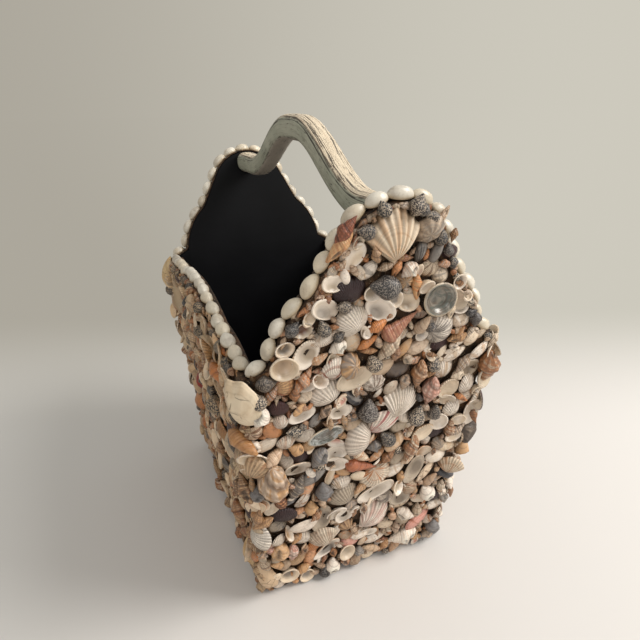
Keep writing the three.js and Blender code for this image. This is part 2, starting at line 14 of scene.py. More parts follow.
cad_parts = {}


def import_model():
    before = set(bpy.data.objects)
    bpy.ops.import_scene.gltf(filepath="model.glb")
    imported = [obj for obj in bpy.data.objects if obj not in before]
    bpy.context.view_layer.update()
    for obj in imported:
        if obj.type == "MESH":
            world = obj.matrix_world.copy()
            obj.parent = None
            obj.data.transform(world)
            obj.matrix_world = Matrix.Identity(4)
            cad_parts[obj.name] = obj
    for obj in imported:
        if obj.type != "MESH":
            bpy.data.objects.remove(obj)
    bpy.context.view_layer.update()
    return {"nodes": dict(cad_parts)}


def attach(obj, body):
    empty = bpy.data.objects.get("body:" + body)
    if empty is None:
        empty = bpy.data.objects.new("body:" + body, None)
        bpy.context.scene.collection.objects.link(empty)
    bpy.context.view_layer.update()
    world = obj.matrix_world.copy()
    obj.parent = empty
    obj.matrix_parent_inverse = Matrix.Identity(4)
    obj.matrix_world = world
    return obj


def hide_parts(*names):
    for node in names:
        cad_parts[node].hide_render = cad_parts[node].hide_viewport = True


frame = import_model()
MM = 0.001

# %% [markdown]
# ## Where the camera stood
# A camera is a place and three directions. The photograph was taken from above the front left
# corner, a little tilted. Building the rotation from the three directions keeps each angle
# readable, which a typed matrix would not.

# %% The camera
CAMERA_PLACE = Vector((-0.1921, -0.5345, 0.4676))
CAMERA_YAW = 0.3832
CAMERA_PITCH = 0.3952
CAMERA_ROLL = -0.0179
FOCAL_PIXELS = 540
FRAME_PIXELS = 640
SENSOR_WIDTH = 36.0


def in_scene(name, data):
    """A new object, linked into the scene."""
    made = bpy.data.objects.new(name, data)
    bpy.context.scene.collection.objects.link(made)
    return made


def camera_axes():
    """Right, up and forward of the camera as world directions."""
    forward = Vector((
        math.sin(CAMERA_YAW) * math.cos(CAMERA_PITCH),
        math.cos(CAMERA_YAW) * math.cos(CAMERA_PITCH),
        -math.sin(CAMERA_PITCH),
    ))
    level = Vector((math.cos(CAMERA_YAW), -math.sin(CAMERA_YAW), 0))
    up = level.cross(forward)
    cos_roll, sin_roll = math.cos(CAMERA_ROLL), math.sin(CAMERA_ROLL)
    return cos_roll * level + sin_roll * up, cos_roll * up - sin_roll * level, forward


def set_camera():
    lens = bpy.data.cameras.new("camera")
    lens.sensor_width = SENSOR_WIDTH
    lens.lens = FOCAL_PIXELS / FRAME_PIXELS * SENSOR_WIDTH
    camera = in_scene("camera", lens)
    right, up, forward = camera_axes()
    turn = Matrix((right, up, -forward)).transposed()
    camera.matrix_world = Matrix.Translation(CAMERA_PLACE) @ turn.to_4x4()
    bpy.context.scene.camera = camera
    return camera


camera = set_camera()
print("lens in mm:", round(camera.data.lens, 2))

# %% [markdown]
# ## Helpers for materials
# Every finish is a node tree. A `Value` stands for the output of a node, and sums and products
# of it add Math nodes, so a finish reads as a few formulas: `1 - rib` is the groove beside a rib.
# `Nodes` has short calls for the nodes in use, and `Finish` starts and ends a material.

# %% Node helpers


def srgb(red, green, blue):
    """A colour as a painter reads it off a screen, 0 to 1, as linear light."""
    def linear(c):
        return c / 12.92 if c <= 0.04045 else ((c + 0.055) / 1.055) ** 2.4
    return (linear(red), linear(green), linear(blue), 1.0)


class Value:
    """The output of a node, which can be added and multiplied like a number."""

    def __init__(self, nodes, output):
        self.nodes, self.output = nodes, output

    def maths(self, operation, *others):
        return self.nodes.node("Math", (self, *others), operation=operation)

    def __add__(self, other):
        return self.maths("ADD", other)

    def __sub__(self, other):
        return self.maths("SUBTRACT", other)

    def __rsub__(self, number):
        return self.nodes.node("Math", (number, self), operation="SUBTRACT")

    def __mul__(self, other):
        return self.maths("MULTIPLY", other)

    def __abs__(self):
        return self.maths("ABSOLUTE")

    def wave(self):
        """1 at whole turns of 2 pi, 0 at half turns."""
        return self.maths("COSINE") * 0.5 + 0.5

    def step(self, low, high):
        """0 below low, 1 above high and a smooth rise between them."""
        return self.nodes.node("MapRange", {"Value": self, "From Min": low, "From Max": high},
                               interpolation_type="SMOOTHSTEP")


class Nodes:
    """A node tree with short calls for the nodes that are used here."""

    def __init__(self, tree):
        self.tree = tree

    def node(self, kind, inputs=(), output=0, **settings):
        """Adds a node. Its inputs, by number or name, are plain values or other nodes' outputs."""
        made = self.tree.nodes.new("ShaderNode" + kind)
        for key, value in settings.items():
            setattr(made, key, value)
        for key, value in inputs.items() if isinstance(inputs, dict) else enumerate(inputs):
            if isinstance(value, Value):
                self.tree.links.new(value.output, made.inputs[key])
            else:
                made.inputs[key].default_value = value
        return Value(self, made.outputs[output])

    def feed(self, name, key, value):
        """Links a value to a node that the tree has from the start."""
        self.tree.links.new(value.output, self.tree.nodes[name].inputs[key])

    def mix(self, share, first, second, blend="MIX"):
        """Mixes two colours by a share from 0 to 1."""
        return self.node("Mix", {0: share, 6: first, 7: second}, 2, data_type="RGBA", blend_type=blend)

    def darken(self, share, colour, by):
        """Multiplies a share of another colour into a colour."""
        return self.mix(share, colour, by, "MULTIPLY")

    def vector(self, operation, *inputs, output="Vector"):
        return self.node("VectorMath", inputs, output, operation=operation)

    def split(self, vector):
        """The three numbers of a vector."""
        x = self.node("SeparateXYZ", (vector,))
        return [Value(self, output) for output in x.output.node.outputs]


class Finish(Nodes):
    """A material in the making, with the patterns that the finishes share."""

    def __init__(self, name, **sockets):
        self.material = bpy.data.materials.new(name)
        self.material.use_nodes = True
        super().__init__(self.material.node_tree)
        self.shader = self.tree.nodes["Principled BSDF"]
        for socket, value in sockets.items():
            self.shader.inputs[socket.replace("_", " ")].default_value = value

    @property
    def place(self):
        """The point on the object, in metres."""
        return self.node("TexCoord", output="Object")

    @property
    def tint(self):
        return self.node("Attribute", output="Color", attribute_name="tint")

    @property
    def tone(self):
        return self.node("Attribute", output="Color", attribute_name="tone")

    def numbers(self, name):
        """The three numbers of a mesh attribute."""
        return self.split(self.node("Attribute", output="Vector", attribute_name=name))

    def noise(self, scale, detail=3.0, roughness=0.55, distortion=0.0, at=None):
        return self.node("TexNoise", {
            "Vector": at or self.place, "Scale": scale, "Detail": detail, "Roughness": roughness,
            "Distortion": distortion})

    def streaks(self, x, y, z, detail, roughness=0.55):
        """Noise over three numbers of choice, stretched by multiplying them."""
        return self.noise(1.0, detail, roughness, at=self.node("CombineXYZ", (x, y, z)))

    def cells(self, scale, feature="F1"):
        return self.node("TexVoronoi", {"Vector": self.place, "Scale": scale}, feature=feature)

    def done(self, colour, height, strength, distance):
        """Sets the colour and a bump; distance is the height of 1 in metres."""
        self.feed("Principled BSDF", "Base Color", colour)
        bump = self.node("Bump", {"Strength": strength, "Distance": distance, "Height": height})
        self.feed("Principled BSDF", "Normal", bump)
        return self.material


# %% [markdown]
# ## Shell finishes
# Each shell carries its own colours as mesh attributes: `tint` is its ground colour, `tone` the
# colour of its marks, and `habit` holds its number of ribs, the strength of its marks and its
# share of dirt. `grain` runs over its surface: across from 0 to 1 round the fan or the whorl,
# along from the oldest point to the margin, and third a number of the shell's own that makes its
# noise differ from its neighbours'. One material then serves hundreds of shells, all different.

# %% Finish of the outside of a valve
FULL_TURN = 2 * math.pi
RIBBED = (0.5, 1.5)  # ribs, the step from a smooth shell to a ribbed one
CRACKS = "DISTANCE_TO_EDGE"  # of Voronoi cells


def valve_finish():
    make = Finish("shell_outside", Roughness=0.42, Specular_IOR_Level=0.45, Coat_Weight=0.12,
                  Coat_Roughness=0.3)
    across, along, own = make.numbers("grain")
    ribs, marks, dirt = make.numbers("habit")
    rib, own_far = (across * ribs * FULL_TURN).wave(), own * 57.0
    rays = make.streaks(across * 13.0, own_far, along * 0.8, 1.0)
    rings = make.streaks(across * 0.6, own_far, along * 11.0, 2.0)
    fine_rings = make.streaks(across, own_far, along * 34.0, 1.0)
    colour = make.mix(rays.step(0.5, 0.62) * marks, make.tint, make.tone)
    colour = make.mix(rings.step(0.54, 0.66) * 0.55 * marks, colour, make.tone)
    colour = make.mix((1.0 - along.step(0.0, 0.55)) * 0.45 * marks, colour, make.tone)
    shade = (1.0 - rib) * ribs.step(*RIBBED) * 0.42 + fine_rings.step(0.5, 0.8) * 0.16
    colour = make.darken(shade, colour, srgb(0.36, 0.30, 0.25))
    grit = make.noise(420.0, 4.0).step(0.52, 0.68)
    colour = make.darken(grit * dirt, colour, srgb(0.44, 0.38, 0.31))
    return make.done(colour, rib * ribs.step(*RIBBED) + fine_rings * 0.6 + grit * 0.25, 0.7, 0.0007)


# %% [markdown]
# The inside of a valve is smooth and shines: pale, a little darker and greyer deep in the hollow,
# where the shell's inner colour is mixed with painted shade, with faint rings and blotches.

# %% Finish of the inside of a valve


def inside_finish():
    make = Finish("shell_inside", Roughness=0.27, Specular_IOR_Level=0.5, Coat_Weight=0.3,
                  Coat_Roughness=0.2)
    across, along, own = make.numbers("grain")
    rings = make.streaks(across, own * 57.0, along * 14.0, 2.0)
    # Deep in the hollow the colour turns to the darker hollow tone: the inner colour with painted shade.
    colour = make.mix(1.0 - along.step(0.25, 0.85), make.tint, make.tone)
    blotch = make.noise(130.0).step(0.45, 0.75)
    colour = make.darken(blotch * 0.22, colour, srgb(0.62, 0.55, 0.46))
    colour = make.darken(rings.step(0.5, 0.7) * 0.14, colour, srgb(0.55, 0.48, 0.42))
    return make.done(colour, rings, 0.25, 0.0004)


# %% [markdown]
# Snails wear their colour in spiral bands and in beads where the bands cross the ribs. The
# whorl number minus the turn round the axis is constant along a spiral, so its fraction draws
# the bands without any picture. Between the beads and along the seam of the whorls the colour is
# darkened. This is painted shade in the grooves, and between the beads it is also the shell's own brown.

# %% Finish of snail shells


def snail_finish():
    make = Finish("snail_shell", Roughness=0.4, Specular_IOR_Level=0.45, Coat_Weight=0.15,
                  Coat_Roughness=0.25)
    across, along, own = make.numbers("grain")
    ribs, marks, dirt = make.numbers("habit")
    spiral, own_far = (along - across).maths("FRACT"), own * 91.0
    bands = make.streaks(spiral * 5.0, own_far, 0.0, 1.0)
    flames = make.streaks(spiral * 1.5, own_far, across * 16.0, 2.0)
    share = (bands * 0.6 + flames * 0.4).step(0.46, 0.53) * marks
    colour = make.mix(share, make.tint, make.tone)
    bead = (across * ribs * FULL_TURN).wave() * (spiral * 30.0).wave()
    # Darker between the beads: painted shade in the grooves, with the shell's own brown.
    colour = make.darken((1.0 - bead) * ribs.step(*RIBBED) * 0.5, colour, srgb(0.38, 0.30, 0.24))
    # Darker along the seam between the whorls: painted shade in the groove.
    seam = abs(spiral - 0.5).step(0.36, 0.49) * (ribs.step(*RIBBED) * 0.3 + 0.32)
    colour = make.darken(seam, colour, srgb(0.44, 0.35, 0.28))
    grit = make.noise(500.0, 4.0).step(0.5, 0.7)
    colour = make.darken(grit * dirt, colour, srgb(0.42, 0.36, 0.30))
    return make.done(colour, bead + grit * 0.3, 0.5, 0.0006)


# %% [markdown]
# The dark round snails are peppered: cream specks in rows on black or slate. Fine noise, broken
# up by rows and by the cells of a Voronoi texture, gives specks of uneven size.

# %% Finish of peppered snails


def peppered_finish():
    make = Finish("peppered_shell", Roughness=0.45, Specular_IOR_Level=0.45, Coat_Weight=0.1,
                  Coat_Roughness=0.3)
    across, along, _ = make.numbers("grain")
    marks = make.numbers("habit")[1]
    rows = ((along - across).maths("FRACT") * 44.0).wave()
    speck = rows * 0.10 + (make.noise(860.0, 2.0, 0.6) - make.cells(900.0) * 0.10)
    share = speck.step(0.50, 0.55) * marks
    cloud = make.noise(110.0, 2.0).step(0.35, 0.65)
    ground = make.mix(cloud * 0.5, make.tint, srgb(0.27, 0.26, 0.26))
    colour = make.mix(share, ground, make.tone)
    return make.done(colour, rows * 0.7 + share * 0.5, 0.5, 0.0005)


# %% [markdown]
# Mother-of-pearl is dark here, as the dish lies in the shade: a swirl of grey over the shell's
# own colour, a warm veil and growth rings, under a hard gloss.

# %% Finish of mother-of-pearl


def pearl_finish():
    make = Finish("mother_of_pearl", Roughness=0.26, Metallic=0.15, Specular_IOR_Level=0.5,
                  Coat_Weight=0.35, Coat_Roughness=0.15)
    across, along, own = make.numbers("grain")
    rings = make.streaks(across * 2.0, own * 31.0, along * 9.0, 2.0)
    swirl = make.noise(95.0, 3.0, 0.6, 1.6).step(0.38, 0.62)
    colour = make.mix(swirl, make.tint, srgb(0.37, 0.38, 0.35))
    veil = make.noise(60.0, 2.0, 0.5, 2.0).step(0.5, 0.66)
    colour = make.mix(veil * 0.5, colour, srgb(0.56, 0.49, 0.43))
    colour = make.mix(rings.step(0.5, 0.6) * 0.6, colour, make.tone)
    return make.done(colour, rings, 0.3, 0.0005)


# %% [markdown]
# Sea-worn pieces have lost their gloss. They are chalky, yellowed in patches and cracked along
# their layers.

# %% Finish of sea-worn pieces


def worn_finish():
    make = Finish("worn_shell", Roughness=0.62, Specular_IOR_Level=0.35)
    _, along, own = make.numbers("grain")
    marks = make.numbers("habit")[1]
    patch = make.noise(55.0, 4.0, 0.6).step(0.42, 0.62)
    colour = make.mix(patch * marks, make.tint, make.tone)
    warped = make.noise(70.0)
    layers = make.streaks(warped, own * 23.0, along * 12.0, 2.0)
    line = (1.0 - make.cells(75.0, CRACKS).step(0.0, 0.035)) * warped.step(0.5, 0.6)
    colour = make.mix(line * 0.7, colour, srgb(0.30, 0.22, 0.16))
    colour = make.darken(layers.step(0.5, 0.7) * 0.3, colour, srgb(0.48, 0.38, 0.26))
    height = (make.noise(380.0, 4.0) * 0.5 + layers) * marks - line * 0.8
    return make.done(colour, height, 0.6, 0.0009)


# %% [markdown]
# The rim cowries have a satin enamel: creamy white with grey-beige clouds, yellower round the base
# and dusty where the glue sits.

# %% Finish of the rim cowries


def cowrie_finish():
    make = Finish("cowrie_enamel", Roughness=0.36, Specular_IOR_Level=0.45, Coat_Weight=0.2,
                  Coat_Roughness=0.25)
    along = make.numbers("grain")[1]
    colour = make.mix(make.noise(70.0).step(0.4, 0.7), make.tint, make.tone)
    foot = 1.0 - along.step(0.12, 0.5)
    colour = make.mix(foot * 0.6, colour, srgb(0.66, 0.56, 0.40))
    dust = make.noise(640.0).step(0.55, 0.72)
    colour = make.mix(dust * 0.25, colour, srgb(0.45, 0.38, 0.30))
    return make.done(colour, make.noise(160.0, 2.0), 0.12, 0.0006)


# %% [markdown]
# Between the shells the adhesive shows: a lumpy bed of its own brown, made dark as painted shade in
# the gaps and darker still in its hollows as painted shade, with crumbs of shell in it.

# %% Finish of the adhesive


def adhesive_finish():
    make = Finish("adhesive", Roughness=0.7, Specular_IOR_Level=0.3)
    lumps = make.noise(160.0, 5.0, 0.6)
    # Dark brown, darkest where the lumps are low: painted shade in the gaps and in the bed's hollows.
    colour = make.mix(lumps.step(0.35, 0.65), srgb(0.14, 0.10, 0.07), srgb(0.33, 0.24, 0.165))
    crumbs = 1.0 - make.cells(420.0).step(0.12, 0.24)
    colour = make.mix(crumbs, colour, srgb(0.56, 0.49, 0.39))
    return make.done(colour, lumps, 0.8, 0.0015)


# %% [markdown]
# The boards carry plain black satin paint, brushed on: almost even, with faint brush lines and a
# few dusty specks. It shines less low down, where the basket is in its own shade.

# %% Finish of the black paint
BRUSHED = (26.0, 26.0, 210.0)  # scale of the brush lines, which run along the boards
SHEEN = (0.08, 0.36)  # m, the height over which the paint takes on its sheen


def black_paint_finish():
    make = Finish("black_paint", Specular_IOR_Level=0.14)
    brush = make.noise(1.0, 4.0, at=make.node("Mapping", {"Vector": make.place, "Scale": BRUSHED}))
    cloud = make.noise(9.0, 4.0).step(0.35, 0.7)
    colour = make.mix(cloud, srgb(0.028, 0.028, 0.035), srgb(0.052, 0.052, 0.060))
    dust = make.noise(330.0, 5.0, 0.7).step(0.66, 0.74)
    colour = make.mix(dust * 0.2, colour, srgb(0.16, 0.155, 0.15))
    make.feed("Principled BSDF", "Roughness", brush * 0.18 + 0.42)
    height = make.split(make.place)[2]
    make.feed("Principled BSDF", "Specular IOR Level", height.step(*SHEEN) * 0.12 + 0.02)
    return make.done(colour, brush, 0.15, 0.0006)


# %% [markdown]
# The handle is the only piece with a history of its own: pale green paint over cream over bare
# wood, rubbed and crackled, with dark lines where the old grain opened. `grain` here is in
# millimetres round and along the handle, so lines can run its whole length, and the first number
# of `habit` says how far a point faces up (1) or down (-1). The faces that point up are a lighter
# cream. This is painted light on the top, together with the cream under the green. The faces that
# point down take a greyer tone.

# %% Finish of the handle
EDGE_LINES = [(0.55, 0.07), (0.97, 0.10), (1.205, 0.02)]  # where dark lines run, and their widths
CORNER_FACING = 0.6  # how far the rubbed corners face up
KNOT = (0.007, -0.075, 0.4415)  # metres
KNOT_RADIUS = 0.007


def aged_paint_finish():
    make = Finish("aged_paint", Specular_IOR_Level=0.4)
    around, along, _ = make.numbers("grain")
    side = make.numbers("habit")[0]
    lanes = around + make.noise(24.0) * 5.0
    fine = make.streaks(lanes * 1.15, 3.0, along * 0.022, 3.0, 0.6)
    long = make.streaks(lanes * 0.42, 8.0, along * 0.011, 2.0, 0.5)
    green = make.mix(make.noise(30.0, 4.0).step(0.4, 0.62), srgb(0.65, 0.65, 0.58), srgb(0.59, 0.60, 0.53))
    green = make.mix(fine.step(0.5, 0.62) * 0.5, green, srgb(0.50, 0.48, 0.42))
    # Lighter cream on the faces that point up: painted light on the top, with the cream undercoat.
    cream = make.mix(fine.step(0.5, 0.66), srgb(0.875, 0.81, 0.705), srgb(0.74, 0.65, 0.55))
    colour = make.mix(side.step(0.45, 0.75), green, cream)
    colour = make.mix(1.0 - side.step(-0.75, -0.45), colour, srgb(0.66, 0.62, 0.57))
    broken = make.noise(90.0, 4.0).step(0.42, 0.56)
    split = (1.0 - abs(long - 0.5).step(0.003, 0.012)) * broken
    corner = 1.0 - abs(abs(side) - CORNER_FACING).step(0.02, 0.22)
    worn = corner * (fine + broken * 0.12).step(0.56, 0.64)
    dark = split.maths("MAXIMUM", worn)
    for lane, width in EDGE_LINES:
        line = 1.0 - abs(long * 0.5 + side - lane).step(width * 0.4, width)
        line = line * (broken * 0.25 + fine).step(0.34, 0.5)
        dark = dark.maths("MAXIMUM", line)
    crack = (1.0 - make.cells(330.0, CRACKS).step(0.0, 0.07)) * make.noise(55.0).step(0.5, 0.62)
    colour = make.mix(crack * 0.5, colour, srgb(0.36, 0.34, 0.28))
    colour = make.mix(dark * 0.85, colour, srgb(0.17, 0.14, 0.12))
    flecks = make.noise(420.0, 4.0, 0.65).step(0.64, 0.69)
    colour = make.mix(flecks * 0.6, colour, srgb(0.24, 0.21, 0.18))
    away = make.vector("LENGTH", make.vector("SUBTRACT", make.place, KNOT), output="Value")
    knot = 1.0 - away.step(0.4 * KNOT_RADIUS, KNOT_RADIUS)
    speckle = make.noise(520.0).step(0.5, 0.56)
    colour = make.mix(knot * 0.9, colour, make.mix(speckle, srgb(0.86, 0.84, 0.80), srgb(0.16, 0.13, 0.12)))
    make.feed("Principled BSDF", "Roughness", dark * 0.3 + 0.45)
    return make.done(colour, fine * 0.5 - dark - crack * 0.4, 0.5, 0.0007)


OUTSIDE, INSIDE, SNAIL, PEPPERED, PEARL, WORN = range(6)
FINISHES = [valve_finish(), inside_finish(), snail_finish(), peppered_finish(), pearl_finish(),
            worn_finish()]
black_paint = black_paint_finish()
print("shell finishes:", [f.name for f in FINISHES])

# %% [markdown]
# ## One mesh from many shells
# A shell here is a stack of rings with a point at each end, like a globe whose rings can be
# pushed anywhere. That one form makes valves, snails, cups and cowries, always as a closed skin.
# Thousands of separate objects would be slow, so a heap gathers shells and becomes one mesh.

# %% Stack of rings to mesh data


def ring_stack(rings, first, last, across, along, part):
    """A closed skin over rings (rows x columns x 3, in mm) with a point at each end.

    across is one number per column and one more for the seam, along one number per row, and
    part the finish of each band of faces. The result is a plain dictionary."""
    rows, columns = rings.shape[:2]
    points = np.concatenate([[first], rings.reshape(-1, 3), [last]])
    row = np.arange(rows)[:, None] * columns + 1
    here = row + np.arange(columns)
    beside = row + (np.arange(columns) + 1) % columns
    quads = np.stack([here[:-1], beside[:-1], beside[1:], here[1:]], -1).reshape(-1, 4)
    end = len(points) - 1
    top = np.stack([np.zeros(columns, int), beside[0], here[0]], -1)
    bottom = np.stack([here[-1], beside[-1], np.full(columns, end)], -1)
    x0, x1 = across[:-1], across[1:]
    y0, y1 = along[:-1, None], along[1:, None]
    band = (rows - 1, columns)
    quad_grain = np.stack([np.broadcast_to(x, band) for x in (x0, x1, x1, x0)], -1)
    quad_rise = np.stack([np.broadcast_to(y, band) for y in (y0, y0, y1, y1)], -1)
    middle = (x0 + x1) / 2
    top_grain = np.stack([middle, x1, x0], -1)
    bottom_grain = np.stack([x0, x1, middle], -1)
    return {
        "points": points, "quads": quads, "tris": np.concatenate([top, bottom]),
        "quad_grain": np.stack([quad_grain, quad_rise], -1).reshape(-1, 4, 2),
        "tri_grain": np.concatenate([
            np.stack([top_grain, np.full((columns, 3), along[0])], -1),
            np.stack([bottom_grain, np.full((columns, 3), along[-1])], -1)]),
        "quad_part": np.repeat(part[:-1], columns),
        "tri_part": np.repeat([part[0], part[-1]], columns),
    }


def facing_out(shell):
    """Turns every face round if the skin encloses a negative volume."""
    quads = shell["quads"]
    fans = np.concatenate([quads[:, [0, 1, 2]], quads[:, [0, 2, 3]], shell["tris"]])
    a, b, c = shell["points"][fans.T]
    if np.einsum("ij,ij->", a, np.cross(b, c)) < 0:
        for faces, grain in (("quads", "quad_grain"), ("tris", "tri_grain")):
            shell[faces] = shell[faces][:, ::-1]
            shell[grain] = shell[grain][:, ::-1]
    return shell


def all_of_part(shell, part):
    """Gives the whole shell one finish."""
    shell["quad_part"][:] = part
    shell["tri_part"][:] = part
    return shell


def skin_normals(rings):
    """Unit normals of a grid of points that is closed round its columns."""
    down = np.gradient(rings, axis=0)
    about = np.roll(rings, -1, 1) - np.roll(rings, 1, 1)
    normal = np.cross(about, down)
    return normal / (np.linalg.norm(normal, axis=-1, keepdims=True) + 1e-9)


# %% A heap of shells that becomes one object


POINT_COLOURS = ("tint", "tone", "habit")  # three numbers for each point


class Heap:
    """Gathers shells in millimetres and makes one mesh of them, in metres."""

    def __init__(self):
        self.lists = {key: [] for key in (
            "points", "quads", "tris", "quad_grain", "tri_grain", "quad_part", "tri_part",
            *POINT_COLOURS)}
        self.count = 0
        self.shells = 0

    def add(self, shell, turn, move, tint, tone, habit, own):
        lists = self.lists
        size = len(shell["points"])
        lists["points"].append(shell["points"] @ turn.T + move)
        lists["quads"].append(shell["quads"] + self.count)
        lists["tris"].append(shell["tris"] + self.count)
        for face in ("quad", "tri"):
            grain = shell[face + "_grain"]
            number = np.full((*grain.shape[:2], 1), own)
            lists[face + "_grain"].append(np.concatenate([grain, number], -1))
            lists[face + "_part"].append(shell[face + "_part"])
        for key, value in zip(POINT_COLOURS, (tint, tone, habit)):
            lists[key].append(np.broadcast_to(value, (size, 3)))
        self.count += size
        self.shells += 1

    def triangles(self):
        return 2 * sum(map(len, self.lists["quads"])) + sum(map(len, self.lists["tris"]))

    def to_object(self, name, finishes):
        data = {key: np.concatenate(value) for key, value in self.lists.items()}
        mesh = bpy.data.meshes.new(name)
        quads, tris = data["quads"], data["tris"]
        mesh.vertices.add(len(data["points"]))
        mesh.vertices.foreach_set("co", (data["points"] * MM).astype(np.float32).ravel())
        corners = np.concatenate([quads.ravel(), tris.ravel()])
        mesh.loops.add(len(corners))
        mesh.loops.foreach_set("vertex_index", corners.astype(np.int32))
        starts = np.concatenate([
            np.arange(len(quads)) * 4, len(quads) * 4 + np.arange(len(tris)) * 3])
        mesh.polygons.add(len(starts))
        mesh.polygons.foreach_set("loop_start", starts.astype(np.int32))
        used = np.concatenate([data["quad_part"], data["tri_part"]])
        kinds = sorted(set(used.tolist()))
        for kind in kinds:
            mesh.materials.append(finishes[kind])
        lookup = np.zeros(max(kinds) + 1, np.int32)
        lookup[kinds] = np.arange(len(kinds))
        mesh.polygons.foreach_set("material_index", lookup[used])
        mesh.update(calc_edges=True)
        grain = np.concatenate([data["quad_grain"].reshape(-1, 3), data["tri_grain"].reshape(-1, 3)])
        layer = mesh.attributes.new("grain", "FLOAT_VECTOR", "CORNER")
        layer.data.foreach_set("vector", grain.astype(np.float32).ravel())
        layer = mesh.attributes.new("habit", "FLOAT_VECTOR", "POINT")
        layer.data.foreach_set("vector", data["habit"].astype(np.float32).ravel())
        for key in ("tint", "tone"):
            full = np.concatenate([data[key], np.ones((len(data[key]), 1))], 1)
            layer = mesh.attributes.new(key, "FLOAT_COLOR", "POINT")
            layer.data.foreach_set("color", full.astype(np.float32).ravel())
        mesh.shade_smooth()
        return in_scene(name, mesh)


# %% [markdown]
# ## The species
# Every species below is a small function that returns a shell lying on a table: its width runs
# along x, its length along y, and z is up, all in millimetres.
#
# A bivalve grows by adding rings at its margin, each a little larger and less tilted than the
# last, all starting near the beak. Tilting the rings gives the arch of a real valve without
# modelling it by hand.

# %% Valves


def oval_margin(angle, taper=0.0, square=2.0):
    """A rounded margin with the hinge at y = -1 and the far edge at y = 1."""
    x = np.sign(np.sin(angle)) * np.abs(np.sin(angle)) ** (2 / square)
    y = -np.sign(np.cos(angle)) * np.abs(np.cos(angle)) ** (2 / square)
    return x * (1 + taper * y), y


SHOULDER = 0.7  # share of a scallop's margin that is its arc


def fan_margin(angle):
    """A scallop's margin: straight sides from the hinge, then an arc."""
    share = angle / np.pi - 1
    arc = np.clip(share / SHOULDER, -1, 1)
    back = np.clip((1 - np.abs(share)) / (1 - SHOULDER), 0, 1)
    x = -np.sin(arc) * back ** 0.9
    y = 2 * np.cos(arc) * back - 1
    return x * 1.22, y


def valve(width, length, arch, ribs=0, rib_height=0.0, columns=20, rows=5, thickness=0.8,
          margin=oval_margin, wobble=None, **margin_values):
    """One valve of a bivalve, dome up, with its beak at -y."""
    angle = np.arange(columns) / columns * 2 * np.pi
    mx, my = margin(angle, **margin_values)
    if wobble is not None:
        swell = 1 + wobble[0] * np.sin(3 * angle + wobble[1]) + wobble[0] * np.sin(7 * angle + wobble[2])
        mx, my = mx * swell, (my + 1) * swell - 1
    half = length / 2
    rise = 0.30 * half * math.sin(arch)

    def skin(age):
        age = age[:, None]
        tilt = arch * (1 - age)
        run = age * half * (my + 1)
        x = age * width / 2 * mx
        y = -half * (1 - 0.18 * (1 - age)) + run * np.cos(tilt)
        z = rise * (1 - age) + run * np.sin(tilt)
        return np.stack([x * np.ones_like(z), y, z], -1)

    outer_age = (np.arange(1, rows + 1) / rows) ** 0.8
    outer = skin(outer_age)
    if ribs:
        weight = np.clip(my + 0.9, 0, 1) * outer_age[:, None] ** 1.2
        wave = 0.5 + 0.5 * np.cos(angle * ribs)
        outer = outer + skin_lift(outer) * (rib_height * weight * wave)[..., None]
    inner_rows = max(2, rows // 2)
    inner_age = np.concatenate([[1.0], ((np.arange(inner_rows, 0, -1) - 0.4) / inner_rows) ** 0.9])
    shell_in = skin(inner_age)
    squeeze = 1 - 1.2 * thickness / width
    shell_in = shell_in * [squeeze, squeeze, 1] - skin_lift(shell_in) * thickness
    rings = np.concatenate([outer, shell_in])
    beak = np.array([0, -half * 0.82, rise])
    beak_in = shell_in[-1].mean(0)
    across = np.arange(columns + 1) / columns
    along = np.concatenate([outer_age, inner_age])
    part = np.array([OUTSIDE] * rows + [INSIDE] * (inner_rows + 1))
    shell = facing_out(ring_stack(rings, beak, beak_in, across, along, part))
    shell["outer"] = 1 + rows * columns
    return shell


def skin_lift(rings):
    """Normals that point up, away from the hollow."""
    normal = skin_normals(rings)
    return normal * np.sign(normal[..., 2].mean() + 1e-9)


# %% [markdown]
# A snail is a tube wound round an axis. From outside it reads as a spindle with a seam that
# climbs round it, so it is turned as one skin whose radius dips along the seam. The mouth is
# pressed in near the base, with a raised lip.

# %% Snails


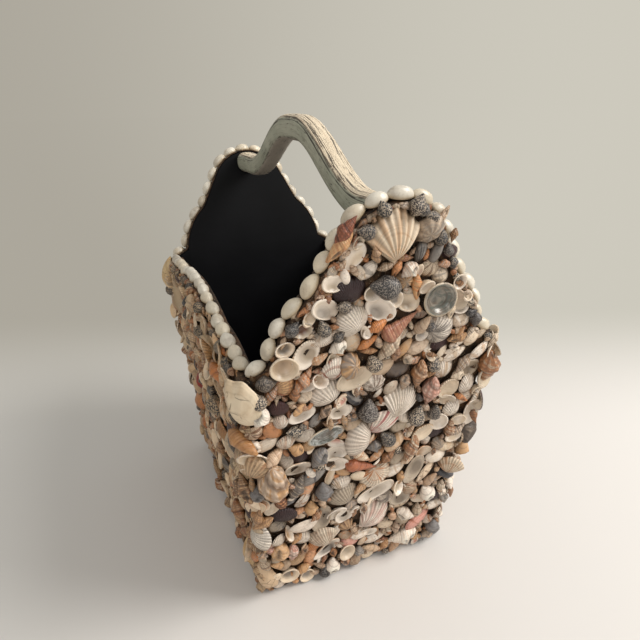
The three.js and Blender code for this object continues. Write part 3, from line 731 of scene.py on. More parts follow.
def snail(length, width, whorls=4.0, belly=0.62, spire=0.85, slim=0.7, seam=0.16, ribs=0,
          rib_height=0.0, mouth=None, columns=10, rows=15, growth=0.75):
    """A snail lying on its side, its point at +y. mouth is the turn that it faces, or None.

    slim is how far its lower end tapers: 0 is round, 1 is drawn out to a beak.
    """
    u = np.linspace(0.035, 0.985, rows)[:, None]
    turn = np.arange(columns)[None] / columns
    rising = np.clip(u / belly, 0, 1) ** spire
    past = np.clip((u - belly) / (1 - belly), 0, 1)
    globe = 0.12 + 0.88 * np.cos(np.pi / 2 * past ** 1.6) ** 0.8
    beak = 1 - 0.84 * past ** 1.15
    radius = width / 2 * np.where(u < belly, rising, globe + (beak - globe) * slim)
    number = np.log(1 + u * ((1 + growth) ** whorls - 1)) / math.log(1 + growth)
    phase = number - turn
    radius = radius * (1 - seam * (1 - np.abs(np.sin(np.pi * phase))) ** 2)
    if ribs:
        radius = radius * (1 + rib_height * (0.5 + 0.5 * np.cos(2 * np.pi * turn * ribs)))
    dark = np.ones((rows, columns))
    if mouth is not None:
        off = (turn - mouth + 0.5) % 1 - 0.5
        reach = np.sqrt((off / 0.085) ** 2 + ((u - 0.70) / 0.22) ** 2)
        radius = radius * (1 - 0.55 * np.clip(1.1 - reach, 0, 1) ** 0.7)
        radius = radius * (1 + 0.10 * np.exp(-((reach - 1.25) / 0.25) ** 2))
        # Inside the mouth the colours are dimmed to 0.3 as painted shade; the lip round it is made a little
        # lighter.
        dark = np.where(reach < 0.85, 0.3, np.where(reach < 1.5, 1.12, 1.0))
    around = turn * 2 * np.pi
    rings = np.stack([
        radius * np.sin(around), (0.5 - u) * length * np.ones_like(radius), radius * np.cos(around)], -1)
    across = np.arange(columns + 1) / columns
    shell = facing_out(ring_stack(
        rings, np.array([0, length / 2, 0]), np.array([0, -length / 2, 0]), across, number[:, 0],
        np.full(rows, SNAIL)))
    shell["dark"] = np.concatenate([[1.0], dark.ravel(), [1.0]])
    return shell


def peppered(size, columns=12, rows=10):
    """A round dark snail with a low spire."""
    return all_of_part(snail(
        size * 1.05, size * near(0.8, 0.08), 3.0, near(0.56, 0.08), near(0.8, 0.15), 0.4, 0.14,
        columns=columns, rows=rows), PEPPERED)


# %% [markdown]
# Limpets and worn rings are cups: an outer cone, a rounded lip and an inner bowl. Laid hollow
# side out they are the small white rings that dot the basket.

# %% Cups


CUP_OUTER = [(0.30, 0.0), (0.66, 0.34), (0.92, 0.8), (1.0, 1.0)]  # shares of the width and depth
CUP_INNER = [(0.97, 1.05), (0.90, 1.0), (0.78, 0.72), (0.5, 0.40)]
CUP_FLOOR = 0.22  # of the depth


def cup(width, length, depth, flutes=0, flute=0.0, thickness=1.1, columns=20, inside=INSIDE):
    """A cup with its hollow up."""
    angle = np.arange(columns) / columns * 2 * np.pi
    wave = 1 + flute * np.cos(angle * flutes)
    rings = []
    for share, rise in CUP_OUTER + CUP_INNER:
        side = share if (share, rise) in CUP_OUTER else share - thickness / width
        flow = 1 + (wave - 1) * share
        rings.append(np.stack([
            side * flow * width / 2 * np.sin(angle), side * flow * length / 2 * np.cos(angle),
            np.full(columns, rise * depth)], -1))
    along = np.array([0.2, 0.5, 0.85, 1.0, 1.0, 0.95, 0.7, 0.3])
    part = np.repeat([OUTSIDE, inside], (len(CUP_OUTER), len(CUP_INNER)))
    shell = facing_out(ring_stack(
        np.array(rings), np.array([0, 0, 0.0]), np.array([0, 0, CUP_FLOOR * depth]),
        np.arange(columns + 1) / columns, along, part))
    shell["outer"] = 1 + len(CUP_OUTER) * columns
    return shell


print("sample valve triangles:", 2 * len(valve(20, 18, 1.0)["quads"]))

# %% [markdown]
# ## The walls
# Every shell sits on a wall of the basket, so the walls come from the frame: how far each board
# stands out at the ground, how much it leans, and where its upper edge runs. The shell skin
# turns round the upright corners of the basket, so a place on a wall is a distance across, which
# may run past the corner, and a height.

# %% The four boards
WALLS = {
    "front": ("end_board_front", (1, 0, 0), (0, -1, 0), ("left", "right")),
    "back": ("end_board_back", (-1, 0, 0), (0, 1, 0), ("right", "left")),
    "left": ("side_board_left", (0, -1, 0), (-1, 0, 0), ("back", "front")),
    "right": ("side_board_right", (0, 1, 0), (1, 0, 0), ("front", "back")),
}
CORNER_TURN = 9.0  # mm, radius of the shell skin round an upright corner
CELL = 1.5  # mm, of the map that says how deep the shells lie
BED_DEPTH = 6.0  # mm of adhesive
MOST_DEPTH = 22.0  # mm, from the board to the highest shell
FLOOR_GAP = 1.2  # mm, from the ground to the lowest shell
MAP_MARGIN = 12.0  # mm, of the map beyond the wall
LOWEST_EDGE = 200.0  # mm, below which no point belongs to the upper edge


def unit(vector):
    return vector / np.linalg.norm(vector)


class Wall:
    """One outer face of the basket: its plane, its edge and the depth of shells on it."""

    def __init__(self, name, board, across, outward, neighbours):
        self.name = name
        self.across, self.outward = np.array(across, float), np.array(outward, float)
        self.neighbours = neighbours
        points = np.array([v.co for v in frame["nodes"][board].data.vertices]) / MM
        out, side, rise = points @ self.outward, points @ self.across, points[:, 2]
        self.foot = out[rise < 1].max()
        crest = np.argmax(rise)
        top = out[rise > rise[crest] - 0.1].max()
        self.lean = (top - self.foot) / rise[crest]
        self.up = unit(np.array([0, 0, 1]) + self.lean * self.outward)
        self.normal = unit(self.outward - self.lean * np.array([0, 0, 1]))
        face = (out > self.foot + self.lean * rise - 0.5) & (rise > LOWEST_EDGE)
        edge = np.unique(np.round(np.stack([side[face], rise[face]], -1), 2), axis=0)
        self.edge = edge[np.argsort(edge[:, 0], kind="stable")]
        self.thickness = self.foot - out[rise < 1].min()

    def join(self, walls):
        self.beside = [walls[n] for n in self.neighbours]
        self.reach = self.half(self.edge[:, 1].min()) + CORNER_TURN * np.pi / 4
        self.height = self.edge[:, 1].max()
        self.s = np.arange(-self.reach - MAP_MARGIN, self.reach + MAP_MARGIN, CELL)
        self.z = np.arange(0, self.height + MAP_MARGIN, CELL)
        self.depth = np.full((len(self.z), len(self.s)), BED_DEPTH)
        self.taken = np.zeros(self.depth.shape, bool)

    def half(self, height):
        """Half the width of this face at a height, up to the board beside it."""
        other = self.beside[0]
        return other.foot + other.lean * height

    def top(self, s):
        """Height of the upper edge at a distance across."""
        return np.interp(s, self.edge[:, 0], self.edge[:, 1])

    def spot(self, s, z):
        """The point of the board at a place, and the directions across, up and out there."""
        half = self.half(z)
        over = abs(s) - half
        normal = self.normal
        if over > 0:
            turn = min(over / CORNER_TURN, np.pi / 2)
            other = self.beside[0 if s < 0 else 1]
            normal = unit(math.cos(turn) * self.normal + math.sin(turn) * other.normal)
        point = self.across * np.clip(s, -half, half) + self.outward * (self.foot + self.lean * z)
        point = point + np.array([0, 0, z])
        up = unit(self.up - normal * (self.up @ normal))
        return point, np.stack([np.cross(up, normal), up, normal])

    def window(self, s, z, radius):
        i0, i1 = np.searchsorted(self.s, (s - radius, s + radius))
        k0, k1 = np.searchsorted(self.z, (z - radius, z + radius))
        return slice(k0, k1), slice(i0, i1)


walls = {name: Wall(name, *facts) for name, facts in WALLS.items()}
for wall in walls.values():
    wall.join(walls)
    print(wall.name, "foot", round(wall.foot, 1), "lean", round(wall.lean, 3), "edge", len(wall.edge))

# %% [markdown]
# ## Gluing a shell on
# The maker pushes a shell into the bed where it lies deepest. The same is done here: the depth
# map gives the level under the shell's footprint, the shell sinks a little below it, and the map
# then rises by the shell's own dome. Nothing hangs in the air and every gap gets filled. A shell
# that lies hollow side out stands higher, so that nothing pokes through its bowl. Each face
# multiplies the colours of its shells by factors of its own. The front, back and right get a warm
# tint. The left face gets painted shade, which makes its shells darker and browner than the front's.

# %% Placing one shell
MAX_TILT = 0.6
TAKEN_SIZE = 13.0  # mm, of the shells that stay in view
TAKEN_SHARE = 0.86  # of such a shell, that others keep off
MOST_TAKEN = 0.22  # of a new shell's middle part, that may lie on taken ground
UNDER = 0.8  # share of a footprint whose depth carries the shell
HOLLOW_FILL = 0.7  # a shell that fills less of its dome is hollow side out
LEVEL, HOLLOW_LEVEL = 45, 82  # percentile of the depth that a shell rests on
OFF_MAP = 2.0  # mm, where a shell that starts below the ground rests before it is raised
BRIGHTEST = 0.9
# Factors on each face's shell colours: painted shade on the left face, a warm tint on the others.
FACE_SHADE_AND_WARMTH = {"front": (1.05, 0.97, 0.895), "left": (0.90, 0.74, 0.555), "back": (1.04, 0.97, 0.88),
          "right": (1.04, 0.97, 0.88)}


def turned(axis, angle):
    cosine, sine = math.cos(angle), math.sin(angle)
    if axis == "x":
        return np.array([[1, 0, 0], [0, cosine, -sine], [0, sine, cosine]])
    if axis == "y":
        return np.array([[cosine, 0, sine], [0, 1, 0], [-sine, 0, cosine]])
    return np.array([[cosine, -sine, 0], [sine, cosine, 0], [0, 0, 1]])


def footprint(wall, s, z, width, length, turn):
    """Cells under a shell, with each one's distance from its middle as a share of its size."""
    window = wall.window(s, z, max(width, length) / 2 + CELL)
    dz, ds = np.meshgrid(wall.z[window[0]] - z, wall.s[window[1]] - s, indexing="ij")
    x = ds * math.cos(turn) + dz * math.sin(turn)
    y = dz * math.cos(turn) - ds * math.sin(turn)
    return window, np.hypot(x / (width / 2), y / (length / 2))


def glue(wall, heaps, kind, s, z, turn, tilt=(0.0, 0.0), sink=1.2, lift=None, keep=False):
    """Sets a shell on a wall. kind is what a species recipe returned.

    sink is how far it goes below the level, lift a base height instead of the level's, and
    keep saves even a small shell from being covered.
    """
    shell = kind["shell"]
    flip = turned("y", math.pi) if kind.get("flip") else np.eye(3)
    lean = turned("x", tilt[0]) @ turned("y", tilt[1]) @ flip
    points = shell["points"] @ lean.T
    low, high = points[:, 2].min(), points[:, 2].max()
    extent = np.ptp(points, axis=0)
    window, share = footprint(wall, s, z, extent[0], extent[1], turn)
    level = wall.depth[window]
    under = level[share < UNDER]
    rests_on = HOLLOW_LEVEL if kind.get("fill", 1.0) < HOLLOW_FILL else LEVEL
    base = np.percentile(under, rests_on) - sink if len(under) else OFF_MAP
    if lift is not None:
        base = lift
    base = max(-0.5, min(base, MOST_DEPTH - (high - low)))
    point, axes = wall.spot(s, z)
    move = point + axes[2] * (base - low)
    world = axes.T @ turned("z", turn) @ lean
    lowest = (shell["points"] @ world.T)[:, 2].min() + move[2]
    if lowest < FLOOR_GAP:
        move = move + np.array([0, 0, FLOOR_GAP - lowest])
    colours = []
    # Inside a valve or cup the colours are `inside` and `hollow`; the darker `hollow` tone deep in the bowl
    # carries painted shade.
    for outside, inside in (("tint", "inside"), ("tone", "hollow")):
        colour = np.tile(kind[outside][:3], (len(points), 1))
        if "outer" in shell:
            colour[shell["outer"]:] = kind.get(inside, kind[outside])[:3]
        # A snail's mouth carries painted shade: its colours are multiplied by `dark`.
        if "dark" in shell:
            colour = colour * shell["dark"][:, None]
        colours.append(np.clip(colour * FACE_SHADE_AND_WARMTH[wall.name], 0, BRIGHTEST))
    heaps[kind["heap"]].add(shell, world, move, *colours, kind["habit"], random.random())
    dome = base + (high - low) * kind.get("fill", DOME_FILL) * np.sqrt(np.clip(1 - share ** 2, 0, 1))
    wall.depth[window] = np.where(share < 1, np.maximum(level, dome), level)
    if keep or max(extent[:2]) > TAKEN_SIZE:
        wall.taken[window] |= share < TAKEN_SHARE


# %% [markdown]
# ## The maker's baskets of shells
# A recipe picks one shell: its species, size and colours. The colours are the ones seen on the
# basket, mixed by chance from a small palette, so that no two shells match.

# %% Palette and chance
SEED = 41
random = np.random.default_rng(SEED)
WHITE = srgb(0.91, 0.89, 0.86)
CREAM = srgb(0.88, 0.83, 0.75)
BEIGE = srgb(0.79, 0.71, 0.62)
SAND = srgb(0.77, 0.63, 0.47)
TAN = srgb(0.69, 0.50, 0.35)
ORANGE = srgb(0.80, 0.54, 0.33)
BROWN = srgb(0.42, 0.27, 0.18)
TERRACOTTA = srgb(0.62, 0.38, 0.28)
MAROON = srgb(0.28, 0.14, 0.14)
DARK_MAROON = srgb(0.19, 0.11, 0.12)
PINK = srgb(0.80, 0.60, 0.56)
GREY = srgb(0.55, 0.54, 0.53)
STONE = srgb(0.70, 0.66, 0.60)
SLATE = srgb(0.30, 0.30, 0.33)
BLACK = srgb(0.13, 0.13, 0.14)
OLIVE_GREY = srgb(0.47, 0.46, 0.40)
CHALK = srgb(0.82, 0.77, 0.68)
OLD_CHALK = srgb(0.72, 0.62, 0.49)
RED = srgb(0.70, 0.26, 0.22)
COAL = srgb(0.20, 0.20, 0.22)
UMBER = srgb(0.22, 0.19, 0.18)
WARM_BLUSH = srgb(0.85, 0.66, 0.60)
DIM = srgb(0.40, 0.36, 0.33)
BLUE_GREY = srgb(0.44, 0.44, 0.45)
PEARL_GREY = srgb(0.56, 0.55, 0.52)
PEARL_SHADE = srgb(0.34, 0.30, 0.27)
ENAMELS = srgb(0.84, 0.81, 0.75), srgb(0.82, 0.77, 0.68), srgb(0.87, 0.84, 0.78)  # of the cowries
CLOUDS = srgb(0.76, 0.70, 0.61), STONE, srgb(0.80, 0.76, 0.69)


def blend(first, second, share):
    return tuple(a + (b - a) * share for a, b in zip(first, second))


def pick(*colours):
    """One of the colours, shifted a little towards another and up or down in lightness."""
    first, second = random.integers(len(colours)), random.integers(len(colours))
    colour = blend(colours[first], colours[second], random.uniform(0, 0.35))
    light = random.uniform(0.86, 1.08)
    return tuple(c * light for c in colour[:3])


def habit(ribs=0, marks=0.0, dirt=None):
    return (ribs, marks, random.uniform(0.1, 0.5) if dirt is None else dirt)


def near(value, spread=0.12):
    return value * random.uniform(1 - spread, 1 + spread)


# %% [markdown]
# Detail follows size: a small shell has few columns, a large one many, so that the whole basket
# stays under a million triangles.

# %% Recipes for valves
SMALL = 14.0  # mm, a shell below this gets fewer rings
BROAD = 28.0  # mm, a scallop above this gets more of them
DOME_FILL, BOWL_FILL = 0.85, 0.45  # of the space under a shell's highest point, dome or hollow out
GROWN_RIBS = 1.45  # ribs all round a scallop's outline for each rib that shows


def columns_for(size, detail, least=9, per_mm=0.55):
    """An even number of columns that grows with a shell's size."""
    return int(max(least, round((least + per_mm * size * detail) / 2) * 2))


def clam(size, detail, flip):
    """A smooth oval clam, wider than long."""
    width, length = near(size), near(size * 0.68)
    shell = valve(width, length, near(0.75, 0.2), columns=columns_for(size, detail),
                  rows=3 if size < SMALL else 4, thickness=0.9, square=near(2.2, 0.1), taper=near(0.05, 1.0))
    ground = pick(WHITE, CREAM, WHITE, BEIGE, STONE)
    return {"shell": shell, "flip": flip, "tint": ground, "tone": pick(BEIGE, SAND, GREY, TAN),
            "inside": pick(WHITE, CREAM, STONE), "hollow": pick(STONE, CREAM, GREY, BEIGE),
            "habit": habit(0, random.uniform(0, 0.8)), "heap": "valves",
            "fill": BOWL_FILL if flip else DOME_FILL}


def wedge(size, detail, flip):
    """A slender wedge clam, pointed at one end."""
    shell = valve(near(size), near(size * 0.5), near(0.8, 0.2), columns=columns_for(size, detail),
                  rows=3 if size < SMALL else 4, thickness=0.8, taper=0.1)
    points = shell["points"]
    points[:, 1] *= 1 - 0.5 * points[:, 0] / size
    ground = pick(ORANGE, SAND, CREAM, WHITE, TAN, GREY)
    return {"shell": shell, "flip": flip, "tint": ground, "tone": pick(TAN, BEIGE, BROWN, CREAM),
            "inside": pick(WHITE, CREAM), "hollow": pick(SAND, STONE, PINK),
            "habit": habit(0, random.uniform(0.2, 1)), "heap": "valves",
            "fill": BOWL_FILL if flip else DOME_FILL}


def cockle(size, detail, flip=False, tint=None, tone=None, ribs=None, arch=1.0, marks=None):
    """A round cockle or ark with fine ribs, which are in its finish, not in its form."""
    ribs = ribs or int(random.integers(22, 34))
    shell = valve(near(size), near(size * 0.86), near(arch), columns=columns_for(size, detail, 12, 0.6),
                  rows=5, thickness=1.0, square=2.15)
    marks = random.choice([0.15, 0.4, 0.9]) if marks is None else marks
    return {"shell": shell, "flip": flip, "tint": tint or pick(WHITE, CREAM, WHITE, BEIGE, SAND),
            "tone": tone or pick(TAN, ORANGE, BROWN, SAND, GREY),
            "inside": pick(WHITE, CREAM, STONE), "hollow": pick(CREAM, STONE, GREY),
            "habit": habit(ribs, marks), "heap": "valves", "fill": BOWL_FILL if flip else DOME_FILL}


def dark_cockle(size, detail, tint=None):
    shell = cockle(size, detail, False, tint or pick(MAROON, DARK_MAROON, MAROON, MAROON),
                   pick(DARK_MAROON, MAROON), arch=0.7, marks=0.5)
    shell["habit"] = habit(shell["habit"][0], 0.5, 0.15)
    return shell


def mussel(size, detail):
    """A dark slender mussel or a grey splinter of one."""
    shell = valve(near(size * 0.42), near(size), near(0.8), columns=16, rows=4, thickness=0.8, taper=0.35)
    return {"shell": shell, "tint": pick(SLATE, BLACK, GREY, SLATE), "tone": pick(BLACK, GREY),
            "inside": pick(STONE, GREY), "hollow": pick(SLATE, GREY),
            "habit": habit(0, 0.7, 0.2), "heap": "valves"}


def scallop(size, detail, flip=False, tint=None, tone=None, ribs=10, marks=0.5, arch=0.55):
    """A fan shell with broad ribs."""
    columns, rows = (6 * ribs, 8) if size > BROAD else (4 * ribs, 6)
    grown = int(ribs * GROWN_RIBS)
    shell = valve(size, size * 0.98, arch, ribs=grown, rib_height=0.038 * size, columns=columns,
                  rows=rows, thickness=1.0, margin=fan_margin)
    return {"shell": shell, "flip": flip, "tint": tint or pick(CREAM, WHITE),
            "tone": tone or pick(ORANGE, PINK, TAN), "inside": pick(WHITE, CREAM),
            "hollow": pick(CREAM, PINK, STONE), "habit": habit(grown, marks, 0.1),
            "heap": "large", "fill": 0.5 if flip else DOME_FILL}


# %% Recipes for snails and cups


def whelk(size, detail, tint=None, tone=None, ribs=None):
    """A small dog whelk with a beaded spire."""
    ribs = int(random.integers(7, 12)) if ribs is None else ribs
    mouth = random.choice([None, None, None, None, 0.1])
    shell = snail(near(size), near(size * 0.5), near(4.0, 0.15), near(0.58, 0.06), near(0.95, 0.08),
                  0.8, 0.21, ribs if size > 13 else 0, 0.10, mouth,
                  columns=columns_for(size, detail, 6.5, 0.3), rows=11 if size < SMALL else 17)
    return {"shell": shell, "tint": tint or pick(SAND, TAN, BEIGE, CREAM, ORANGE, BEIGE),
            "tone": tone or pick(BROWN, TAN, CREAM, WHITE, TERRACOTTA),
            "habit": habit(ribs, random.uniform(0.4, 1.0)), "heap": "snails"}


def auger(size, detail, tint=None, tone=None):
    """A long slender screw shell."""
    shell = snail(near(size, 0.06), near(size * 0.34), 7.0, 0.84, 1.0, 0.5, 0.15,
                  columns=12, rows=24, growth=0.32)
    return {"shell": shell, "tint": tint or pick(TERRACOTTA, TAN, GREY, SAND),
            "tone": tone or pick(BROWN, CREAM), "habit": habit(0, 0.6, 0.2), "heap": "snails"}


def olive(size, detail, tint=None, tone=None):
    """A smooth olive or cone with a short spire."""
    mouth = random.choice([None, None, 0.02])
    shell = snail(near(size), near(size * 0.46), 3.0, near(0.34, 0.1), 0.66, 0.75, 0.06, mouth=mouth,
                  columns=columns_for(size, detail, 8, 0.25), rows=11)
    return {"shell": shell, "tint": tint or pick(SAND, TAN, CREAM, ORANGE, BEIGE),
            "tone": tone or pick(BROWN, TAN, GREY), "habit": habit(0, random.uniform(0.2, 0.9), 0.2),
            "heap": "snails"}


def moon(size, detail, tint=None):
    """A pale globe snail with an open mouth."""
    shell = snail(near(size), near(size * 0.74), 3.4, 0.55, 0.8, 0.45, 0.12,
                  mouth=random.choice([0.0, 0.08]), columns=12, rows=12)
    return {"shell": shell, "tint": tint or pick(WHITE, CREAM, STONE, GREY), "tone": pick(BEIGE, TAN),
            "habit": habit(0, random.uniform(0, 0.5), 0.2), "heap": "snails"}


def pepper(size, detail):
    """A round snail, black or slate with cream specks."""
    shell = peppered(near(size), columns_for(size, detail, 8, 0.25), 10)
    return {"shell": shell, "tint": pick(BLACK, COAL, BLACK, UMBER),
            "tone": pick(STONE, CREAM, GREY), "habit": habit(0, random.uniform(0.4, 0.9)),
            "heap": "snails"}


def ring(size, detail, tint=None, hollow=None):
    """A worn limpet, hollow side out: a thick white ring round a shaded bowl."""
    shell = cup(near(size), near(size), near(size * 0.42), columns=columns_for(size, detail, 16, 0.4),
                thickness=1.0)
    return {"shell": shell, "tint": tint or pick(WHITE, CREAM, STONE), "tone": pick(BEIGE, GREY),
            "inside": pick(WHITE, CREAM), "hollow": hollow or pick(STONE, WHITE, BEIGE, GREY),
            "habit": habit(0, 0.4, 0.2), "heap": "cups", "fill": 0.6}


def limpet(size, detail, flip=True, tint=None):
    """A fluted limpet, cone side out."""
    flutes = int(random.integers(8, 12))
    shell = cup(near(size), near(size * 0.86), near(size * 0.32), flutes, 0.05, columns=2 * flutes)
    return {"shell": shell, "flip": flip, "tint": tint or pick(STONE, GREY, BEIGE, SAND),
            "tone": pick(GREY, BROWN, OLIVE_GREY), "inside": pick(CREAM, STONE),
            "hollow": pick(OLIVE_GREY, GREY, BROWN), "habit": habit(flutes, 0.8), "heap": "cups"}


def pearl_dish(width, length):
    """An open ear shell: a shallow dish of mother-of-pearl with a chalky rim."""
    shell = cup(width, length, width * 0.3, columns=36, thickness=2.4, inside=PEARL)
    return {"shell": shell, "tint": CHALK, "tone": pick(TAN, GREY), "inside": PEARL_GREY,
            "hollow": PEARL_SHADE, "habit": habit(0, 0.5), "heap": "large", "fill": 0.5}


def worn_piece(width, length, arch, tint=CHALK, tone=None, flip=False, wobble=0.05, marks=0.7):
    """A lump of oyster or conch worn by the sea."""
    shell = all_of_part(valve(
        width, length, arch, columns=40, rows=9, thickness=3.2, square=2.4,
        wobble=(wobble, random.uniform(0, 6), random.uniform(0, 6))), WORN)
    return {"shell": shell, "flip": flip, "tint": tint, "tone": tone or OLD_CHALK,
            "inside": tint, "hollow": tone or BEIGE, "habit": habit(0, marks), "heap": "large"}


# %% [markdown]
# ## The large shells of the front
# The shells that the eye finds first keep their places from the photograph. Places are in
# millimetres across and up the wall, and a turn of 0 points the growing edge upwards.

# %% Large shells, one by one


def tall(kind, share):
    """Squeezes a shell across to make it slimmer."""
    kind["shell"]["points"] = kind["shell"]["points"] * np.array([share, 1, 1])
    return kind


def front_leaders(detail):
    """Kind, across, up and turn of each large shell on the front, deepest first."""
    return [
        (worn_piece(30, 52, 0.7, srgb(0.84, 0.80, 0.72), srgb(0.70, 0.60, 0.46), wobble=0.025, marks=0.4),
         -115, 256, 4),
        (dark_cockle(27, detail, DARK_MAROON), -34, 338, -8),
        (dark_cockle(14, detail), 49, 357, -20),
        (scallop(42, detail, tint=CREAM, tone=srgb(0.84, 0.62, 0.38), ribs=8, marks=0.35, arch=0.7),
         -4, 376, 7),
        (pearl_dish(29, 34), 43, 320, 60),
        (clam(28, detail, True), -7, 318, -38),
        (cockle(30, detail, tint=WHITE, tone=CREAM, ribs=30, marks=0.2), -30, 312, 35),
        (tall(auger(36, detail, tint=srgb(0.60, 0.40, 0.32), tone=srgb(0.76, 0.60, 0.50)), 1.6),
         12, 302, -52),
        (cockle(20, detail, tint=CREAM, tone=BROWN, ribs=26, marks=0.7), 33, 346, 175),
        (clam(20, detail, False), 44, 338, 120),
        (look(wedge, True, inside=WHITE, hollow=CREAM)(27, detail), -33, 363, 55),
        (clam(19, detail, False), -20, 351, 50),
        (whelk(24, detail, tint=TERRACOTTA, tone=BROWN), -42, 386, -35),
        (olive(26, detail, tint=SAND, tone=TAN), -46, 374, -42),
        (mussel(22, detail), 22, 361, -12),
        (olive(22, detail, tint=ORANGE, tone=SAND), 22, 333, 5),
        (moon(17, detail, tint=WHITE), 12, 349, 130),
        (limpet(17, detail, False, tint=GREY), -70, 312, 20),
        (worn_piece(22, 36, 0.8, srgb(0.80, 0.72, 0.62), wobble=0.03, marks=0.3), -98, 30, 15),
    ]


SMALL_FRONT = [
    (pepper, 15, -15, 398, 30), (pepper, 15, 11, 399, -20), (pepper, 14, 25, 388, 60),
    (pepper, 14, 35, 373, 10), (pepper, 15, -27, 383, 80), (pepper, 13, 45, 361, 10),
    (whelk, 15, -19, 367, 20), (olive, 14, 36, 388, 150), (whelk, 13, 48, 371, 170),
    (ring, 14, -16, 334, 0), (ring, 14, 5, 325, 0), (ring, 13, 62, 331, 0), (pepper, 17, -54, 311, 20),
    (whelk, 14, 4, 311, -60),
]


# %% [markdown]
# Lower down a table is enough. Each row names a look, then gives the size, the place across, the
# place up and the turn in degrees, all read off the photograph.

# %% Looks and the table of the front


def look(recipe, *options, **colours):
    """A recipe with some of its options or colours set."""
    def make(size, detail):
        kind = recipe(size, detail, *options)
        kind.update(colours)
        return kind
    return make


LOOKS = {
    "bowl": look(clam, True, inside=WHITE, hollow=srgb(0.74, 0.71, 0.67)),
    "bowl grey": look(clam, True, inside=srgb(0.72, 0.68, 0.62), hollow=srgb(0.52, 0.48, 0.43)),
    "dome": look(clam, False),
    "dome white": look(clam, False, tint=WHITE, tone=CREAM),
    "dome cream": look(clam, False, tint=CREAM, tone=SAND),
    "dome grey": look(clam, False, tint=GREY, tone=SLATE),
    "dome dark": look(clam, False, tint=DIM, tone=SLATE),
    "dome pink": look(clam, False, tint=PINK, tone=CREAM),
    "ribbed": look(cockle, False, tint=WHITE, tone=BEIGE),
    "ribbed bowl": look(cockle, True, inside=WHITE, hollow=STONE),
    "ribbed grey": look(cockle, False, tint=STONE, tone=BLUE_GREY),
    "rayed": look(cockle, False, WHITE, TERRACOTTA),
    "rayed tan": look(cockle, False, SAND, TERRACOTTA, 20, 0.9, 0.9),
    "cockle orange": look(cockle, tint=ORANGE),
    "fan": look(scallop, tint=WHITE, tone=PINK),
    "fan pale": look(scallop, False, WHITE, CREAM, 13, 0.3),
    "fan pink": look(scallop, False, WHITE, srgb(0.78, 0.48, 0.48), 11, 0.9),
    "maroon": dark_cockle,
    "whelk": whelk,
    "whelk pale": look(whelk, tint=CREAM, tone=TAN),
    "whelk tan": look(whelk, tint=TAN, tone=CREAM),
    "whelk pink": look(whelk, tint=WARM_BLUSH, tone=WHITE),
    "whelk grey": look(whelk, tint=STONE, tone=SLATE),
    "whelk dark": look(whelk, tint=DIM, tone=STONE),
    "long whelk": look(lambda size, detail: tall(whelk(size, detail), 0.8), tint=SAND, tone=WHITE),
    "spindle": look(auger, tint=TERRACOTTA, tone=srgb(0.70, 0.44, 0.30)),
    "olive": look(olive, tint=SAND, tone=BROWN),
    "olive orange": look(olive, tint=ORANGE, tone=TAN),
    "wedge": look(wedge, False),
    "wedge pale": look(wedge, False, tint=WHITE, tone=BEIGE),
    "wedge grey": look(wedge, False, tint=GREY, tone=SLATE),
    "wedge pink": look(wedge, False, tint=PINK, tone=TERRACOTTA),
    "wedge striped": look(wedge, False, tint=CREAM, tone=BROWN),
    "wedge bowl": look(wedge, True, inside=WHITE, hollow=GREY),
    "moon": look(moon, tint=WHITE),
    "moon tan": look(moon, tint=SAND),
    "moon grey": look(moon, tint=BLUE_GREY, tone=STONE),
    "mussel": mussel,
    "ring": ring,
    "limpet pale": look(limpet, True, tint=WHITE),
    "pepper": pepper,
    "pearl": look(lambda size, detail: pearl_dish(size * 0.56, size), inside=srgb(0.66, 0.69, 0.70)),
}
